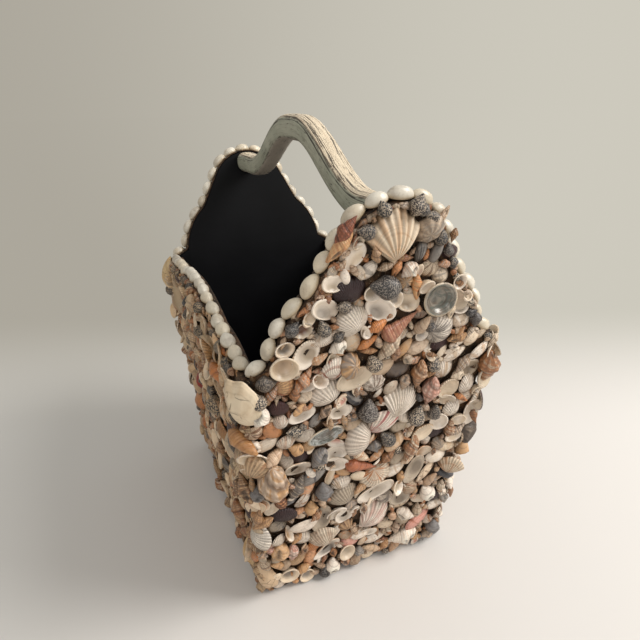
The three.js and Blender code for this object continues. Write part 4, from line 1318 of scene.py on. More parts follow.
FRONT_TABLE = [
    ("ring", 15, -84, 297, 0), ("ribbed bowl", 28, -67, 290, 62), ("moon", 18, -41, 291, 120),
    ("rayed", 27, -41, 270, -35), ("rayed tan", 24, -84, 266, -80), ("bowl", 20, -64, 258, 10),
    ("ribbed", 32, -46, 247, 30), ("moon", 20, -104, 242, 160), ("pepper", 17, -106, 261, 20),
    ("maroon", 20, -88, 242, 20), ("bowl", 23, -67, 229, 15), ("bowl", 25, -33, 224, -10),
    ("dome grey", 17, -54, 218, 60), ("pepper", 16, -74, 215, 70), ("dome", 22, -17, 203, -30),
    ("pearl", 35, -45, 202, 100), ("moon grey", 20, -51, 179, 150), ("dome", 25, -98, 206, 10),
    ("moon tan", 17, -72, 195, 60), ("bowl", 25, -33, 177, 12), ("bowl", 25, -33, 163, -8),
    ("bowl", 27, -69, 170, -5), ("spindle", 40, -5, 153, -118), ("dome", 18, -64, 248, 40),
    ("wedge", 26, 10, 161, 15), ("pepper", 21, 16, 181, 40), ("ribbed", 23, -24, 135, -5),
    ("wedge grey", 30, -55, 152, 25), ("dome", 21, 30, 186, 10), ("pepper", 17, -8, 270, 30),
    ("dome dark", 24, 19, 253, 15), ("moon grey", 16, 4, 174, 100), ("olive orange", 20, -14, 289, 120),
    ("whelk pale", 23, 3, 281, 135), ("whelk", 15, 13, 275, 0), ("wedge", 23, 21, 274, 60),
    ("dome", 22, 34, 273, 30), ("ring", 12, 35, 287, 0), ("bowl", 17, 46, 273, 80),
    ("maroon", 18, 57, 272, 10), ("ribbed", 20, 15, 291, -30), ("dome", 21, 74, 293, 0),
    ("bowl", 17, 71, 305, 0), ("olive", 21, 72, 277, -75), ("dome", 22, 90, 272, 30),
    ("wedge pale", 27, 74, 258, 25), ("whelk tan", 33, 115, 235, 195), ("bowl grey", 25, 94, 240, -20),
    ("ribbed", 24, 94, 223, -10), ("ribbed", 23, 65, 243, 0), ("pepper", 15, 52, 255, 0),
    ("dome", 24, 3, 260, 20), ("whelk", 23, 38, 247, 180), ("limpet pale", 21, -5, 245, 0),
    ("whelk pink", 25, 53, 225, 180), ("fan pale", 37, 24, 221, -20), ("fan pink", 35, 9, 200, -58),
    ("pepper", 21, -8, 222, 0), ("ribbed", 26, 84, 196, 10), ("dome", 24, 100, 203, 40),
    ("pepper", 19, 63, 199, 0), ("ribbed", 22, 112, 205, 0), ("whelk dark", 33, 115, 163, -35),
    ("moon tan", 23, 111, 135, 20), ("maroon", 22, 70, 169, 0), ("whelk tan", 17, 86, 172, 0),
    ("dome cream", 23, 90, 143, -10), ("dome white", 29, 80, 132, -10), ("mussel", 28, 96, 104, 60),
    ("mussel", 24, 117, 102, -20), ("bowl grey", 39, 54, 127, 72), ("whelk pale", 24, 43, 160, 160),
    ("dome", 16, 63, 162, 80), ("whelk", 18, 22, 156, -40), ("wedge pale", 30, 31, 131, 32),
    ("bowl", 37, 13, 111, 25), ("moon", 25, 74, 89, 30), ("ring", 15, 42, 104, 0), ("whelk", 15, 92, 91, 0),
    ("maroon", 22, 86, 74, 0), ("moon", 24, 110, 84, 100), ("long whelk", 45, -93, 165, 186),
    ("moon grey", 20, -105, 155, 0), ("whelk grey", 23, -70, 151, -20), ("wedge", 24, -58, 140, 50),
    ("mussel", 23, -77, 129, 100), ("moon grey", 23, -44, 136, 10), ("ribbed grey", 33, -22, 118, 35),
    ("maroon", 25, -82, 116, 5), ("moon tan", 17, -55, 116, 0), ("bowl grey", 30, -42, 93, 72),
    ("bowl", 25, -17, 87, 5), ("fan", 40, 15, 75, -50), ("wedge striped", 28, 49, 76, 20),
    ("bowl grey", 28, 45, 88, 10), ("whelk pale", 17, 67, 63, 0), ("wedge pink", 34, 72, 46, 15),
    ("wedge pale", 25, 94, 58, 5), ("moon", 21, 105, 37, 0), ("moon grey", 21, 92, 29, 0),
    ("moon grey", 21, 102, 11, 60), ("ribbed grey", 21, -86, 100, 160), ("dome white", 25, -27, 63, 60),
    ("ribbed", 22, -60, 72, -10), ("cockle orange", 19, -48, 56, 0), ("wedge bowl", 36, -34, 43, 35),
    ("moon", 22, -27, 18, 0), ("ring", 22, -74, 25, 0), ("ring", 16, -55, 12, 0),
    ("moon tan", 24, -85, 67, 180), ("whelk pink", 21, -72, 58, 180), ("whelk pink", 15, -94, 75, 0),
    ("dome cream", 21, -89, 27, 80), ("dome cream", 28, -75, -1, 0), ("wedge pale", 28, 4, 50, 5),
    ("wedge pale", 31, 22, 33, 8), ("bowl", 20, 12, 51, 0), ("dome pink", 23, -7, 41, 0),
    ("moon grey", 16, 3, 25, 0), ("wedge striped", 30, -9, -7, 15), ("pepper", 17, -35, 12, 0),
    ("moon", 32, 54, 29, 100), ("dome", 20, 32, 50, 0), ("wedge pale", 32, 51, 1, 10),
    ("ring", 15, 73, -11, 0), ("dome cream", 25, 18, 4, 0), ("dome grey", 23, 44, -9, 0),
    ("moon grey", 16, 81, 1, 0), ("whelk", 21, 88, 12, 90),
]
print("large shells on the front:", len(front_leaders(1.0)) + len(FRONT_TABLE))

# %% [markdown]
# ## Filling the walls
# After the listed shells come four rounds, large to small. Each round takes many chance
# places, keeps the one where the shells lie deepest, and glues a shell there. The middle of a
# larger shell stays clear, so it is seen whole. Small snails and crumbs so end up in the gaps
# between the large valves, as they do on the real basket.

# %% Four rounds of shells
SQUARE_DECIMETRE = 10000.0  # mm2
CHANCES = 40
FOOT_REACH = 0.36  # of a shell's size, round its middle, where the depth counts
EDGE_KEEP, FLOOR_KEEP = 0.31, 0.44  # of its size, from its middle to the upper edge and the ground
FRONT_LARGE = 0.3  # the front has its large shells by hand, so chance adds only this share


ROUNDS = [
    {"per_area": 10.0, "sizes": (24, 34), "mix": [
        (5, look(clam, True)), (4, look(clam, False)), (4, cockle), (2, look(cockle, True)),
        (1.2, dark_cockle), (1.5, scallop), (1.5, look(wedge, True)), (1.5, look(wedge, False)),
        (2.5, whelk), (1, olive), (1, mussel)]},
    {"per_area": 24.0, "sizes": (17, 24), "mix": [
        (4, look(clam, True)), (3, look(clam, False)), (4, cockle), (2.5, look(wedge, True)),
        (2.5, look(wedge, False)), (1.2, pepper), (5, whelk), (3, olive), (1.5, ring), (1, mussel),
        (0.6, dark_cockle), (1, limpet), (0.5, moon)]},
    {"per_area": 40.0, "sizes": (11.5, 17), "mix": [
        (2.4, pepper), (7, whelk), (3, olive), (1.5, ring), (2.5, look(wedge, True)),
        (2.5, look(wedge, False)), (2.5, look(clam, True)), (2, look(clam, False)),
        (1.5, cockle), (0.7, moon), (1, limpet)]},
    {"per_area": 36.0, "sizes": (8, 11.5), "mix": [
        (6, whelk), (1, pepper), (2, look(clam, False)), (2, look(wedge, False)), (1, olive)]},
]
EDGE_MIX = [whelk, whelk, olive, pepper, look(clam, False), look(wedge, False), whelk]
EDGE_SPACING = 7.5  # mm, between the small shells under the rim
EDGE_INSET = 3.0  # mm, below the edge
EDGE_LIFT = 3.2  # mm, off the board
EDGE_SIZES = (10.5, 14)
EDGE_TURN = 0.2
PEPPER_HEIGHT = 150.0  # mm, below which the peppered snails are rare
PEPPER_SHARE = 0.35
DETAIL = {"front": 1.0, "left": 0.9, "right": 0.75, "back": 0.75}
FLAT_TILT, SMALL_TILT = 0.18, 0.32  # spread of the tilt in the first two rounds and the others


def free_places(wall, size):
    """Cells where the middle of a shell of this size may lie."""
    s, z = np.meshgrid(wall.s, wall.z)
    side = wall.beside[0].foot + wall.beside[0].lean * z + CORNER_TURN * np.pi / 4
    inside = (wall.inset > EDGE_KEEP * size) & (z > FLOOR_KEEP * size + 1) & (np.abs(s) < side - 0.5)
    return np.argwhere(inside)


def survey(wall):
    """Distance of each cell from the wall's upper edge, negative above it."""
    s, z = np.meshgrid(wall.s, wall.z)
    gap = np.full(s.shape, 1e9)
    for edge_s in np.linspace(wall.s[0], wall.s[-1], 260):
        gap = np.minimum(gap, np.hypot(s - edge_s, z - wall.top(edge_s)))
    wall.inset = np.where(z < wall.top(s), gap, -gap)


def deepest(wall, places, size):
    """The chance place where the shells lie deepest."""
    best, best_level = None, 1e9
    for k, i in places[random.integers(len(places), size=CHANCES)]:
        reach = max(1, int(size * FOOT_REACH / CELL))
        under = slice(max(0, k - reach), k + reach + 1), slice(max(0, i - reach), i + reach + 1)
        if wall.taken[k, i] or wall.taken[under].mean() > MOST_TAKEN:
            continue
        level = wall.depth[under].mean()
        if level < best_level:
            best, best_level = (wall.s[i], wall.z[k]), level
    return best


def fill(wall, heaps):
    """Four rounds of chance shells, each glued where the layer lies deepest."""
    detail = DETAIL[wall.name]
    area = (2 * wall.half(wall.height / 2) * wall.top(wall.s)).mean() / SQUARE_DECIMETRE
    for number, stage in enumerate(ROUNDS):
        weights = np.array([w for w, _ in stage["mix"]], float)
        count = int(stage["per_area"] * area)
        if number == 0 and wall.name == "front":
            count = int(count * FRONT_LARGE)
        places = free_places(wall, sum(stage["sizes"]) / 2)
        for _ in range(count):
            size = random.uniform(*stage["sizes"])
            recipe = stage["mix"][random.choice(len(weights), p=weights / weights.sum())][1]
            spot = deepest(wall, places, size)
            if spot is None:
                continue
            if recipe is pepper and spot[1] < PEPPER_HEIGHT and random.random() > PEPPER_SHARE:
                recipe = whelk
            spread = FLAT_TILT if number < 2 else SMALL_TILT
            tilt = random.normal(0, spread, 2).clip(-MAX_TILT, MAX_TILT)
            s, z = spot + random.uniform(-CELL / 2, CELL / 2, 2)
            glue(wall, heaps, recipe(size, detail), s, z, random.uniform(0, 2 * np.pi), tilt)


def run_along(line):
    """The distance along a line of points up to each of them."""
    return np.concatenate([[0], np.cumsum(np.hypot(*np.diff(line, axis=0).T))])


def point_at(line, reach, distance):
    return np.array([np.interp(distance, reach, line[:, k]) for k in (0, 1)])


def line_edge(wall, heaps):
    """Small shells close under the upper edge, so that no bare adhesive shows beside the rim."""
    s = np.linspace(wall.edge[0, 0], wall.edge[-1, 0], 400)
    line = np.stack([s, wall.top(s)], -1)
    reach = run_along(line)
    for distance in np.arange(EDGE_SPACING / 2, reach[-1], EDGE_SPACING):
        place, ahead = point_at(line, reach, distance), point_at(line, reach, distance + 2)
        run = unit(ahead - place + [1e-6, 0])
        spot = place + np.array([run[1], -run[0]]) * EDGE_INSET
        recipe = EDGE_MIX[random.integers(len(EDGE_MIX))]
        turn = math.atan2(run[1], run[0]) - math.pi / 2 + random.normal(0, EDGE_TURN)
        size = random.uniform(*EDGE_SIZES)
        glue(wall, heaps, recipe(size, DETAIL[wall.name]), spot[0], spot[1], turn, lift=EDGE_LIFT)


CORNER_PIECE = (176, 257, 22)  # mm, where the worn piece of the front reaches round onto the left
FRONT_SINK, OTHER_SINK = 2.4, -1.5  # mm, of the table's shells and of the other faces' large ones
LONGER = 0.35  # the camera looks down the wall and shortens what runs up it
HEAPS = ("large", "valves", "snails", "cups")
heaps = {name: {heap: Heap() for heap in HEAPS} for name in walls}
for wall in walls.values():
    survey(wall)

front = walls["front"]
for kind, s, z, turn in front_leaders(DETAIL["front"]):
    glue(front, heaps["front"], kind, s, z, math.radians(turn), random.normal(0, 0.07, 2))
walls["left"].taken[walls["left"].window(*CORNER_PIECE)] = True
for name, size, s, z, turn in FRONT_TABLE:
    if "whelk" in name:
        size = size * (1 + LONGER * abs(math.cos(math.radians(turn))))
    glue(front, heaps["front"], LOOKS[name](size, DETAIL["front"]), s, z, math.radians(turn),
         random.normal(0, 0.12, 2), FRONT_SINK, keep=True)
for recipe, size, s, z, turn in SMALL_FRONT:
    glue(front, heaps["front"], recipe(size, DETAIL["front"]), s, z, math.radians(turn), keep=True)

# %% [markdown]
# The other three faces have their own few large pieces: yellowed lumps at the upper corners,
# orange and red valves low on the left, fans and dark cockles on the two faces that the
# photograph doesn't show.

# %% Large shells of the other faces
LEADERS = 14  # chance ones, on a face that the photograph doesn't show
LEADER_SIZES, LEADER_PLACE = (27, 36), 34  # mm, their sizes and the room that each one gets


def other_leaders(name, detail):
    """Kind, across, up and turn of each large shell on a face."""
    if name == "left":
        return [
            (worn_piece(34, 44, 1.0, srgb(0.86, 0.82, 0.72), srgb(0.80, 0.70, 0.54), marks=0.5),
             -179, 250, -12),
            (cockle(34, detail, tint=srgb(0.86, 0.62, 0.44), tone=SAND, marks=0.5), -104, 96, 20),
            (tall(cockle(30, detail, tint=RED, tone=MAROON, marks=0.4), 0.6), -62, 148, 10),
            (cockle(26, detail, tint=ORANGE, tone=TAN, marks=0.4), -84, 74, -20),
            (clam(27, detail, False), 148, 200, 30), (mussel(30, detail), 128, 184, 20),
            (clam(28, detail, False), -40, 240, 70), (clam(26, detail, True), 60, 235, 80),
            (scallop(30, detail, tint=CREAM, tone=TAN), 100, 120, -15),
            (cockle(28, detail), 20, 160, 40), (dark_cockle(25, detail), 120, 190, 0),
            (clam(28, detail, False), -120, 200, 60), (worn_piece(24, 34, 0.8), 118, 40, 10),
            (pearl_dish(19, 28), -20, 60, 30),
        ]
    wall, leaders = walls[name], []
    places = free_places(wall, LEADER_PLACE)
    for _ in range(LEADERS):
        kind = random.choice([
            scallop, cockle, dark_cockle, look(clam, True), look(clam, False), auger])
        size = random.uniform(*LEADER_SIZES)
        spot = deepest(wall, places, LEADER_PLACE)
        if spot is None:
            continue
        leaders.append((kind(size, detail), spot[0], spot[1], random.uniform(0, 360)))
    leaders.append((worn_piece(30, 44, 0.8), wall.half(250) - 4, 250, 5))
    leaders.append((pearl_dish(20, 30), -30, 180, 40))
    return leaders


for name in ("left", "right", "back"):
    for kind, s, z, turn in other_leaders(name, DETAIL[name]):
        tilt = random.normal(0, 0.08, 2)
        glue(walls[name], heaps[name], kind, s, z, math.radians(turn), tilt, OTHER_SINK)

for name, wall in walls.items():
    line_edge(wall, heaps[name])
    fill(wall, heaps[name])
    print(name, {h: (heap.shells, heap.triangles()) for h, heap in heaps[name].items()})

# %% [markdown]
# Shade gathers between the shells and is painted into their colours. The finished depth map tells
# how far a point lies below its surroundings, and the colours of the low points are dimmed and
# browned by that much, as painted shade.

# %% Painted shade in the gaps
GAP_SHADE_REACH = 4  # cells
GAP_SHADE_DEPTH = 6.5  # mm below the surroundings, where the painted shade is darkest
GAP_SHADE_LEAST = 0.22  # of the shell's own brightness left there
GAP_SHADE_BROWNING = np.array([1.0, 1.13, 1.3])  # powers of red, green and blue that make the shade brown


def unrolled(wall, points):
    """Distance across, height and distance out of points on a wall and round its corners."""
    s, z = points @ wall.across, points[:, 2]
    out = points @ wall.outward - (wall.foot + wall.lean * z)
    half = wall.half(z)
    over = np.maximum(0, np.abs(s) - half)
    turn = np.arctan2(over, np.maximum(out, 0.1))
    return np.where(over > 0, np.sign(s) * (half + turn * CORNER_TURN), s), z, np.hypot(over, out)


# Paints shade into the colours of the points that lie low between other shells.
def dust(wall, heap):
    if not heap.shells:
        return
    steps = range(-GAP_SHADE_REACH, GAP_SHADE_REACH + 1, 2)
    level = sum(np.roll(wall.depth, (k, i), (0, 1)) for k in steps for i in steps) / len(steps) ** 2
    s, z, out = unrolled(wall, np.concatenate(heap.lists["points"]))
    i = np.clip(((s - wall.s[0]) / CELL).round().astype(int), 0, len(wall.s) - 1)
    k = np.clip((z / CELL).round().astype(int), 0, len(wall.z) - 1)
    share = np.clip(1 + (out - level[k, i]) / GAP_SHADE_DEPTH, 0, 1)
    share = GAP_SHADE_LEAST + (1 - GAP_SHADE_LEAST) * share * share * (3 - 2 * share)
    for key in ("tint", "tone"):
        heap.lists[key] = [np.concatenate(heap.lists[key]) * share[:, None] ** GAP_SHADE_BROWNING]


for name, wall in walls.items():
    for heap in heaps[name].values():
        dust(wall, heap)

# %% [markdown]
# ## The adhesive bed
# Behind the shells lies a layer of adhesive, a few millimetres thick and lumpy. It is a closed
# slab: a front grid that follows the wall round its corners, a plain back grid just off the
# board, and a strip round the border that joins them.

# %% The bed
BED_ROWS, BED_COLUMNS = 64, 66
BED_TOP_DROP = 0.5  # mm, below the board's upper edge
BED_BACK = 0.35  # mm, off the board
adhesive = adhesive_finish()


def lumps(s, z):
    """A slow wave over the bed, from -1 to 1."""
    wave = math.sin(s * 0.31 + 1.3 * math.sin(z * 0.17))
    return (wave + math.sin(z * 0.27 + 1.7 * math.sin(s * 0.13))) / 2


def bed(wall):
    corner = wall.edge[0, 1]
    front_grid, back_grid = [], []
    for row in range(BED_ROWS):
        for column in range(BED_COLUMNS):
            share = 2 * column / (BED_COLUMNS - 1) - 1
            wide = wall.half(corner) + CORNER_TURN * np.pi / 4 - 1
            top = wall.top(share * wide) - BED_TOP_DROP
            z = FLOOR_GAP + row / (BED_ROWS - 1) * (top - FLOOR_GAP)
            s = share * (wall.half(min(z, corner)) + CORNER_TURN * np.pi / 4 - 1)
            point, axes = wall.spot(s, z)
            front_grid.append(point + axes[2] * (BED_DEPTH - 1 + 1.2 * lumps(s, z)))
            back_grid.append(point + axes[2] * BED_BACK)
    points = np.array(front_grid + back_grid)
    points[:, 2] = np.maximum(points[:, 2], FLOOR_GAP)
    index = np.arange(BED_ROWS * BED_COLUMNS).reshape(BED_ROWS, BED_COLUMNS)
    quads = np.stack([index[:-1, :-1], index[:-1, 1:], index[1:, 1:], index[1:, :-1]], -1).reshape(-1, 4)
    behind = quads[:, ::-1] + index.size
    loop = np.concatenate([index[0], index[1:, -1], index[-1, -2::-1], index[-2:0:-1, 0]])
    after = np.roll(loop, -1)
    border = np.stack([loop, loop + index.size, after + index.size, after], -1)
    mesh = bpy.data.meshes.new("adhesive_" + wall.name)
    faces = np.concatenate([quads, behind, border])
    mesh.from_pydata((points * MM).tolist(), [], faces.tolist())
    mesh.materials.append(adhesive)
    mesh.shade_smooth()
    return in_scene(mesh.name, mesh)


beds = {name: bed(wall) for name, wall in walls.items()}
print("bed faces:", sum(len(b.data.polygons) for b in beds.values()))

# %% [markdown]
# ## The rim
# Cowries are glued flat side down along every upper edge, tip to tip. A cowrie is an egg with a
# flat foot, so its rings shrink towards the back and towards the foot. Their centres follow the
# board's edge at a fixed distance, which keeps them from crowding in the notches.

# %% Cowries on the rim
COWRIE_LENGTH, COWRIE_WIDTH, COWRIE_HEIGHT = 19.0, 12.2, 8.8
RIM_GAP = 0.4  # mm, from the board's edge to a cowrie's foot
COWRIE_SHIFT = 4.6  # mm, from the middle of the board's thickness outwards
COWRIE_PROFILE = [
    (0.28, 0.985), (0.55, 0.90), (0.78, 0.72), (0.93, 0.48), (1.0, 0.24), (0.95, 0.08), (0.7, 0.0)]
COWRIE_COLUMNS = 18
COWRIE_SHARES = (0.88, 1.12)  # of the mean length
COWRIE_SPIN, COWRIE_ROLL = 0.09, 0.1  # spread of its turn on its foot and round its length
BEAD_WIDE, BEAD_THICK = 4.4, 1.1  # mm, half the sizes of the bead of glue
BEAD_STEP, BEAD_COLUMNS = 3, 8


def cowrie(length, width, height):
    angle = np.arange(COWRIE_COLUMNS) / COWRIE_COLUMNS * 2 * np.pi
    egg = 1 + 0.10 * np.cos(angle)
    rings = [np.stack([
        share * width / 2 * np.sign(np.sin(angle)) * np.abs(np.sin(angle)) ** 1.25 * egg,
        share * length / 2 * np.cos(angle),
        np.full(COWRIE_COLUMNS, (rise - 0.5) * height)], -1) for share, rise in COWRIE_PROFILE]
    along = np.array([rise for _, rise in COWRIE_PROFILE])
    return facing_out(ring_stack(
        np.array(rings), np.array([0, 0, 0.5 * height]), np.array([0, 0, -0.5 * height]),
        np.arange(COWRIE_COLUMNS + 1) / COWRIE_COLUMNS, along, np.zeros(len(rings), int)))


def path_above(edge, distance):
    """Points at a distance above an edge, without those that other parts of it crowd."""
    kept = []
    starts, ends = edge[:-1], edge[1:]
    spans = ends - starts
    for start, end in zip(starts, ends):
        run = end - start
        length = np.hypot(*run)
        if length < 1e-3:
            continue
        aside = np.array([-run[1], run[0]]) / length
        for share in np.linspace(0, 1, max(2, int(length))):
            point = start + run * share + aside * distance
            t = np.clip(((point - starts) * spans).sum(1) / np.maximum((spans ** 2).sum(1), 1e-9), 0, 1)
            gap = np.hypot(*(starts + spans * t[:, None] - point).T).min()
            if gap > distance - 0.01:
                kept.append(point)
    return np.array(kept)


def rim(wall):
    """A row of cowries and the bead of glue under them."""
    path = path_above(wall.edge, COWRIE_HEIGHT / 2 + RIM_GAP)
    reach = run_along(path)
    count = int(round(reach[-1] / COWRIE_LENGTH))
    shares = random.uniform(*COWRIE_SHARES, count)
    marks = np.concatenate([[0], np.cumsum(shares)]) / shares.sum() * reach[-1]
    heap = Heap()

    def world(place, out=0.0):
        height = place[1]
        middle = wall.foot + wall.lean * height - wall.thickness / 2 + out
        return wall.across * place[0] + wall.outward * middle + np.array([0, 0, height])

    for start, end in zip(marks[:-1], marks[1:]):
        before, middle, after = (point_at(path, reach, d) for d in (start, (start + end) / 2, end))
        along = unit(world(after) - world(before))
        side = unit(wall.normal - along * (wall.normal @ along))
        above = np.cross(side, along)
        if above[2] < 0:
            side, above = -side, -above
        spin = random.normal(0, COWRIE_SPIN)
        length = (end - start) * near(1.03, 0.03)
        shell = cowrie(length, near(COWRIE_WIDTH, 0.07), near(COWRIE_HEIGHT, 0.06))
        if random.random() < 0.5:
            shell["points"] = shell["points"] * np.array([-1, -1, 1])
        turn = np.stack([side, along, above], -1) @ turned("z", spin)
        turn = turn @ turned("y", random.normal(0, COWRIE_ROLL))
        tint, tone = pick(*ENAMELS), pick(*CLOUDS)
        move = world(middle, random.normal(COWRIE_SHIFT, 0.5)) + above * random.normal(-0.2, 0.2)
        heap.add(shell, turn, move, tint, tone, habit(), random.random())
    low = path_above(wall.edge, RIM_GAP + 0.4)[::BEAD_STEP]
    sections = []
    angle = np.arange(BEAD_COLUMNS) / BEAD_COLUMNS * 2 * np.pi
    for number, place in enumerate(low):
        ahead, behind = low[min(number + 1, len(low) - 1)], low[max(number - 1, 0)]
        along = unit(world(ahead) - world(behind))
        above = unit(np.cross(wall.normal, along))
        aside = np.outer(np.sin(angle) * BEAD_WIDE, wall.normal)
        sections.append(world(place) + aside + np.outer(np.cos(angle) * BEAD_THICK, above))
    bead = facing_out(ring_stack(
        np.array(sections), sections[0].mean(0), sections[-1].mean(0),
        np.arange(BEAD_COLUMNS + 1) / BEAD_COLUMNS,
        np.linspace(0, 1, len(sections)), np.ones(len(sections), int)))
    heap.add(bead, np.eye(3), np.zeros(3), CREAM[:3], SAND[:3], habit(), 0.5)
    print("rim", wall.name, count, "cowries")
    return heap.to_object("rim_cowries_" + wall.name, [enamel, adhesive])


enamel = cowrie_finish()
rims = {name: rim(wall) for name, wall in walls.items()}

# %% [markdown]
# ## The handle
# The handle is carved from one piece: squared with soft edges, arched, a little thicker where
# it meets the gables. It is swept along its own curve and replaces the plainer solid of the
# frame. `grain` holds millimetres here, and `habit` says whether a point faces up or sideways.

# %% The handle
HANDLE_WIDTH, FOOT_WIDTH, HANDLE_THICKNESS = 22.0, 29.5, 22.5
HANDLE_FLARE = 48.0  # mm, the stretch at each foot that widens
HANDLE_SWAY = 3.5  # mm, of the crest towards the left
HANDLE_SQUARE, FAR_SQUARE = 3.3, 2.5  # exponent of its section and of its far foot; 2 is an oval
HANDLE_RISE, CREST_SHIFT, CREST_HALF, BOW_HALF = 50.0, 18.0, 14.0, 150.0
FOOT_HEIGHT = 388.75
FAR_STRETCH = 22.0  # mm, the stretch at the far foot that narrows
CROWN_STRETCH = 40.0  # mm, of the crest that is thicker
HANDLE_ROWS, HANDLE_COLUMNS = 96, 40
END_GAP = 0.3  # mm, from the handle's ends to the boards


def handle_height(y):
    share = np.clip((abs(y + CREST_SHIFT) - CREST_HALF) / (BOW_HALF - CREST_HALF), 0, 1)
    return FOOT_HEIGHT + HANDLE_RISE * (1 + math.cos(math.pi * share)) / 2


def handle():
    wall = walls["front"]
    inner = wall.foot + wall.lean * FOOT_HEIGHT - wall.thickness - END_GAP
    angle = np.arange(HANDLE_COLUMNS) / HANDLE_COLUMNS * 2 * np.pi

    def section(square):
        power = 2 / square
        return (np.sign(np.sin(angle)) * np.abs(np.sin(angle)) ** power,
                np.sign(np.cos(angle)) * np.abs(np.cos(angle)) ** power)

    across, upward = section(HANDLE_SQUARE)
    facing = np.abs(upward) ** (HANDLE_SQUARE - 1) * np.sign(upward)
    facing = facing / np.hypot(facing, np.abs(across) ** (HANDLE_SQUARE - 1))
    rings, centres = [], []
    for row in range(HANDLE_ROWS):
        y = -inner + 2 * inner * row / (HANDLE_ROWS - 1)
        slope = handle_height(y + 0.5) - handle_height(y - 0.5)
        ahead = unit(np.array([0, 1, slope]))
        above = np.array([0, -ahead[2], ahead[1]])
        foot = max(0.0, 1 - (inner - abs(y)) / HANDLE_FLARE)
        crown = math.exp(-((y + CREST_SHIFT) / CROWN_STRETCH) ** 2)
        far = max(0.0, 1 - (inner - y) / FAR_STRETCH)
        across, upward = section(HANDLE_SQUARE + (FAR_SQUARE - HANDLE_SQUARE) * min(1.0, 1.6 * far))
        wide = (HANDLE_WIDTH + (FOOT_WIDTH - HANDLE_WIDTH) * foot ** 2) / 2 + 0.3 * math.sin(y * 0.045)
        wide *= 1 - 0.16 * far ** 3
        thick = HANDLE_THICKNESS / 2 * (1 + 0.14 * foot ** 2 + 0.06 * crown - 0.10 * far ** 3)
        sway = 0.6 * math.sin(y * 0.02) - HANDLE_SWAY * (1 - foot ** 2)
        centre = np.array([sway, y, handle_height(y) + 0.6 * crown - 1.6 * foot ** 2])
        ring = centre + np.outer(across * wide, [1, 0, 0]) + np.outer(upward * thick, above)
        ring[:, 1] += np.sign(y) * wall.lean * (ring[:, 2] - FOOT_HEIGHT) * min(1.0, foot * 1.6)
        centres.append(centre)
        rings.append(ring)

    def run(points):
        return np.concatenate([[0], np.cumsum(np.linalg.norm(np.diff(points, axis=0), axis=1))])

    rings = np.array(rings)
    middle = rings[HANDLE_ROWS // 2]
    shell = facing_out(ring_stack(
        rings, rings[0].mean(0), rings[-1].mean(0), run(np.concatenate([middle, middle[:1]])),
        run(centres), np.zeros(HANDLE_ROWS, int)))
    heap = Heap()
    heap.add(shell, np.eye(3), np.zeros(3), CREAM[:3], SAND[:3], habit(), 0.5)
    side = np.concatenate([[0], np.tile(facing, HANDLE_ROWS), [0]])
    heap.lists["habit"][0] = np.stack([side, side * 0, side * 0], -1)
    return heap.to_object("carved_handle", [aged_paint_finish()])


carved_handle = handle()
print("handle faces:", len(carved_handle.data.polygons))

# %% [markdown]
# ## Tying the pieces to the frame
# The new pieces stand for the plain coverings, rim rows and handle of the frame and ride on its
# one body. The boards keep their own shapes and only take the black paint.

# %% Pieces and what they replace


def settle(piece, slot, *replaced):
    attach(piece, "root")
    if replaced:
        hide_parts(*replaced)


total = 0
for name in walls:
    settle(beds[name], "mixed_shell", "shells_" + name)
    settle(rims[name], "cowrie", "cowries_" + name)
    for heap_name, heap in heaps[name].items():
        if heap.shells:
            piece = heap.to_object(f"{heap_name}_shells_{name}", FINISHES)
            settle(piece, "mixed_shell", "shells_" + name)
            total += heap.triangles()
settle(carved_handle, "aged_paint", "handle")
for board in ("end_board_front", "end_board_back", "side_board_left", "side_board_right", "bottom_board"):
    board_node = frame["nodes"][board]
    board_node.data.materials.clear()
    board_node.data.materials.append(black_paint)
print("shell triangles:", total)

# %% [markdown]
# ## The studio
# The basket stands on a pale floor in the light of a large soft window to the right, with
# a weaker fill from the left and a pale room around it. The floor's colour is painted a little
# darker to the left, as painted shade where the window's light falls off.

# %% Floor and light
FLOOR_SIZE = 30.0
KEY = {"place": (1.6, -0.9, 1.8), "size": 1.4, "power": 57.0, "colour": (1.0, 0.985, 0.96)}
FILL = {"place": (-1.2, -2.4, 1.6), "size": 2.0, "power": 17.0, "colour": (0.98, 0.98, 1.0)}
DIM_SIDE, BRIGHT_SIDE = srgb(0.675, 0.655, 0.61), srgb(0.805, 0.79, 0.742)
OVERHEAD = srgb(0.755, 0.75, 0.735)
# The floor's colour to the left, in painted shade, and to the right.
FLOOR_TONES = srgb(0.83, 0.82, 0.80), srgb(0.85, 0.833, 0.815)
AIM = Vector((0, 0, 0.18))
BEHIND = (math.sin(CAMERA_YAW), math.cos(CAMERA_YAW), 0.0)  # away from the camera along the floor
ASIDE = (math.cos(CAMERA_YAW), -math.sin(CAMERA_YAW), 0.0)  # to the camera's right along the floor
FLOOR_SHADE_SPAN = (-0.45, 0.0)  # m beside the basket, over which the floor's colour turns darker to the left as painted shade
SWEEP = (0.08, 0.62)  # m behind the middle of the basket, where the floor turns into the glowing room tone
FAR = (0.9, 3.0)  # m from the middle of the basket, where it glows in the room's tone all round


def room_colour(nodes, direction):
    """The room's tone in a direction: dimmer to the left, brighter to the right."""
    return nodes.mix(nodes.split(direction)[0].step(-0.2, 0.8), DIM_SIDE, BRIGHT_SIDE)


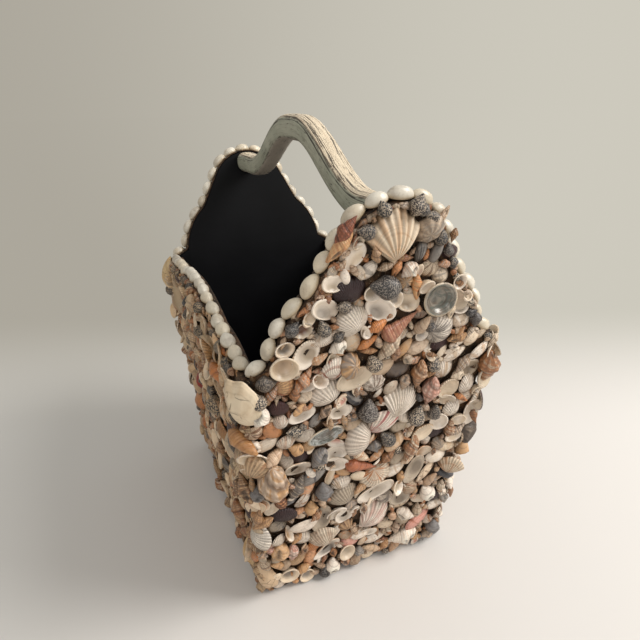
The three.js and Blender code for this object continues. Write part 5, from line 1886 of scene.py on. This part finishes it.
def floor():
    """A floor that fades into the room's tone: far off and behind the basket it glows in that tone, dimmer
    to the left, as painted light.
    """
    half = FLOOR_SIZE / 2
    mesh = bpy.data.meshes.new("floor")
    corners = [(-half, -half, 0), (half, -half, 0), (half, half, 0), (-half, half, 0)]
    mesh.from_pydata(corners, [], [(0, 1, 2, 3)])
    make = Finish("pale_floor", Roughness=0.8, Specular_IOR_Level=0.15)
    aside = make.vector("DOT_PRODUCT", make.place, ASIDE, output="Value")
    # Painted shade: the floor's colour is darker to the left, with a little noise.
    cloud = make.noise(1.2, 2.0) * 0.1 + aside.step(*FLOOR_SHADE_SPAN)
    make.feed("Principled BSDF", "Base Color", make.mix(cloud, *FLOOR_TONES))
    # Far off and behind the basket the floor glows in the room's tone: painted light, not lamp light.
    toward = make.vector("NORMALIZE", make.place)
    sweep = make.node("Emission", {"Color": room_colour(make, toward)})
    behind = make.vector("DOT_PRODUCT", make.place, BEHIND, output="Value")
    away = make.vector("LENGTH", make.place, output="Value")
    share = away.step(*FAR).maths("MAXIMUM", behind.step(*SWEEP))
    plain = Value(make, make.shader.outputs[0])
    make.feed("Material Output", "Surface", make.node("MixShader", (share, plain, sweep)))
    mesh.materials.append(make.material)
    in_scene("floor", mesh)


def softbox(name, facts):
    light = bpy.data.lights.new(name, "AREA")
    light.shape = "DISK"
    light.size = facts["size"]
    light.energy = facts["power"]
    light.color = facts["colour"]
    made = in_scene(name, light)
    spot = Vector(facts["place"])
    made.location = spot
    made.rotation_mode = "QUATERNION"
    made.rotation_quaternion = (AIM - spot).to_track_quat("-Z", "Y")


def room():
    world = bpy.data.worlds.new("room")
    world.use_nodes = True
    nodes = Nodes(world.node_tree)
    direction = nodes.node("TexCoord", output="Generated")
    upwards = nodes.split(direction)[2].step(0.15, 0.5)
    nodes.feed("Background", "Color", nodes.mix(upwards, room_colour(nodes, direction), OVERHEAD))
    bpy.context.scene.world = world


floor()
softbox("key", KEY)
softbox("fill", FILL)
room()
bpy.context.scene.view_settings.view_transform = "Standard"
